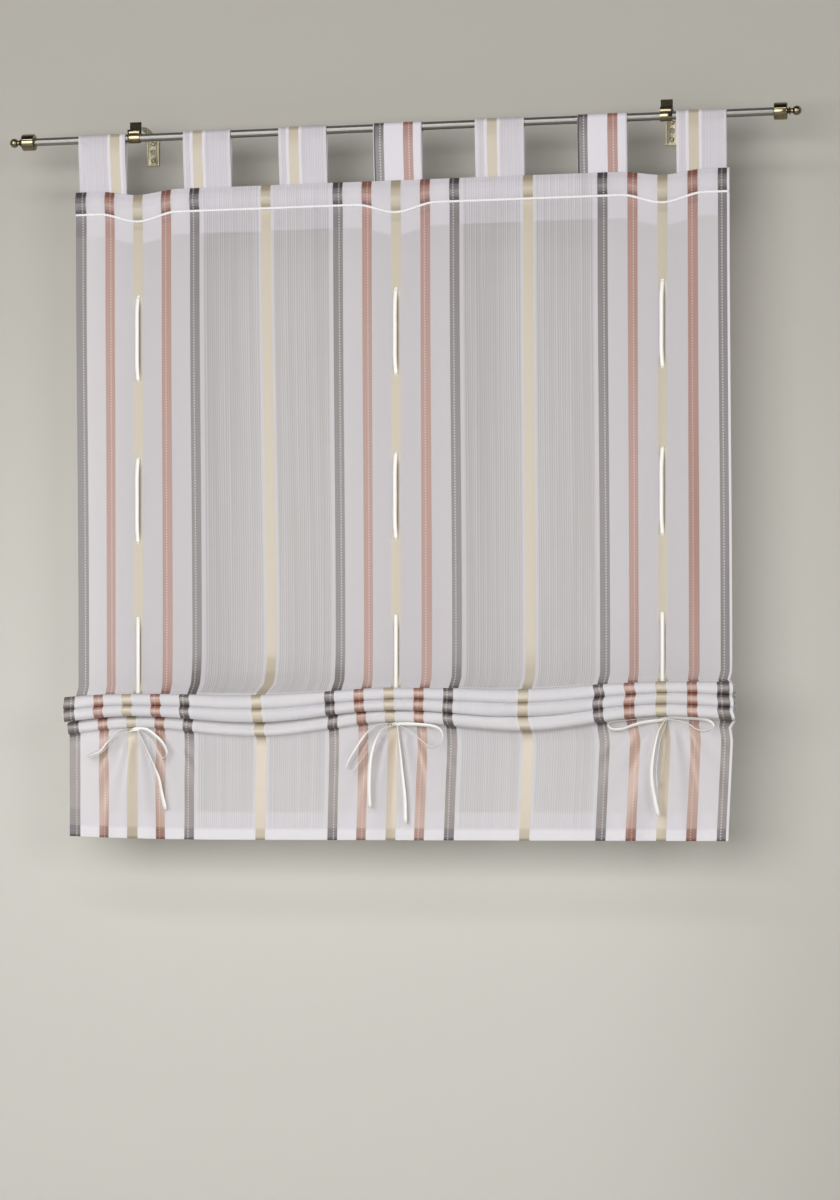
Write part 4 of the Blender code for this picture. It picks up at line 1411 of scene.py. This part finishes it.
class CURTAIN_OT_stage(bpy.types.Operator):
    """Adds the wall, the floor and the lights"""

    bl_idname = "curtain.stage"
    bl_label = "Stage"

    def execute(self, context):
        settings = context.scene.curtain_stage
        self.plane("wall", 4.0, (0, 0.0006, -0.2), (90, 0, 0), settings.wall, settings.wall_painted_shade)
        self.plane("floor", 12.0, (0, 0, -1.75), (0, 0, 0), settings.floor)
        self.area("key", settings.key_power, (3.2, 2.0), (-1.0, -3.9, -0.35))
        self.area("fill", 0.30 * settings.key_power, (1.4, 1.4), (2.4, -3.5, -0.3))
        self.area("overhead", settings.overhead_power, (4.0, 0.5), (-0.6, -3.6, 1.9))
        world = bpy.data.worlds.new("soft")
        world.use_nodes = True
        background = world.node_tree.nodes["Background"]
        tree = world.node_tree
        _, ahead, up = split(tree, add_node(tree, "ShaderNodeTexCoord").outputs["Generated"])
        front = ramped(tree, ahead, -0.25, -0.55)
        room = scaled(tree, front, DARK_ROOM - 1, 1.0)
        room = times(tree, room, ramped(tree, up, 0.70, 0.82, 1.0, DARK_CEILING))
        # The surroundings are at full strength where they are seen directly, or in metal and cloth
        ray = add_node(tree, "ShaderNodeLightPath").outputs
        mirrored = larger(tree, ray["Is Glossy Ray"], ray["Is Transmission Ray"])
        strength = times(tree, between(tree, mirrored, settings.ambient, 1.0), room)
        strength = between(tree, ray["Is Camera Ray"], strength, 1.0)
        background.inputs["Color"].default_value = rgba(settings.surroundings)
        link(tree, background, "Strength", strength)
        context.scene.world = world
        context.scene.view_settings.view_transform = "Standard"
        return {"FINISHED"}

    def area(self, name, power, size, place):
        """A rectangular lamp that points at the middle of the curtain."""
        data = bpy.data.lights.new(name, "AREA")
        data.energy = power
        data.shape = "RECTANGLE"
        data.size, data.size_y = size
        lamp = bpy.data.objects.new(name, data)
        lamp.location = place
        towards = Vector((0, 0, -0.5)) - Vector(place)
        lamp.rotation_euler = towards.to_track_quat("-Z", "Y").to_euler()
        bpy.context.scene.collection.objects.link(lamp)

    def plane(self, name, half, place, turn, colour, painted_shade_colour=None):
        """A painted square. With a painted shade colour it darkens upwards and, low down, towards the
        right, a painted shade of light falling off; it is then clear from behind.
        """
        bm = bmesh.new()
        bmesh.ops.create_grid(bm, x_segments=1, y_segments=1, size=half)
        material, tree, shader = new_material(f"{name}, matt paint")
        plane = object_of(name, bm, material)
        plane.location = place
        plane.rotation_euler = [math.radians(angle) for angle in turn]
        shader.inputs["Base Color"].default_value = rgba(colour)
        shader.inputs["Roughness"].default_value = 0.9
        if painted_shade_colour is not None:
            # Painted shade: darker to the right low down, and darker upwards.
            right, up, _ = split(tree, add_node(tree, "ShaderNodeTexCoord").outputs["Object"])
            low = mixed(tree, ramped(tree, right, 0.2, 0.8, 0.0, 0.5), colour, painted_shade_colour)
            painted = mixed(tree, ramped(tree, up, -0.9, 0.45), low, painted_shade_colour)
            link(tree, shader, "Base Color", painted)
            back = add_node(tree, "ShaderNodeNewGeometry").outputs["Backfacing"]
            clear = add_node(tree, "ShaderNodeBsdfTransparent").outputs[0]
            both = shaded(tree, back, shader.outputs[0], clear)
            link(tree, tree.nodes["Material Output"], "Surface", both)


class CURTAIN_PT_sidebar(bpy.types.Panel):
    """Lists the curtain's pieces in the sidebar"""

    bl_label = "Tie-up curtain"
    bl_idname = "CURTAIN_PT_sidebar"
    bl_space_type = "VIEW_3D"
    bl_region_type = "UI"
    bl_category = "Curtain"

    def draw(self, context):
        for operator in OPERATORS:
            self.layout.operator(operator.bl_idname)
        for group in SETTINGS:
            for name in SETTINGS[group].__annotations__:
                self.layout.prop(getattr(context.scene, group), name)


SETTINGS = {
    "curtain_cloth": ClothSettings,
    "curtain_ribbons": RibbonSettings,
    "curtain_metals": MetalSettings,
    "curtain_stage": StageSettings,
}
OPERATORS = (
    CURTAIN_OT_camera,
    CURTAIN_OT_ribbons,
    CURTAIN_OT_tabs,
    CURTAIN_OT_cloth,
    CURTAIN_OT_rod_set,
    CURTAIN_OT_stage,
)


def register():
    for cls in (*SETTINGS.values(), *OPERATORS, CURTAIN_PT_sidebar):
        bpy.utils.register_class(cls)
    for name, cls in SETTINGS.items():
        setattr(bpy.types.Scene, name, bpy.props.PointerProperty(type=cls))


def unregister():
    for name in SETTINGS:
        delattr(bpy.types.Scene, name)
    for cls in reversed((*SETTINGS.values(), *OPERATORS, CURTAIN_PT_sidebar)):
        bpy.utils.unregister_class(cls)


def main():
    register()
    bpy.ops.curtain.camera()
    bpy.ops.curtain.ribbons()
    bpy.ops.curtain.tabs()
    bpy.ops.curtain.cloth()
    bpy.ops.curtain.rod_set()
    bpy.ops.curtain.stage()


if __name__ == "__main__":
    main()
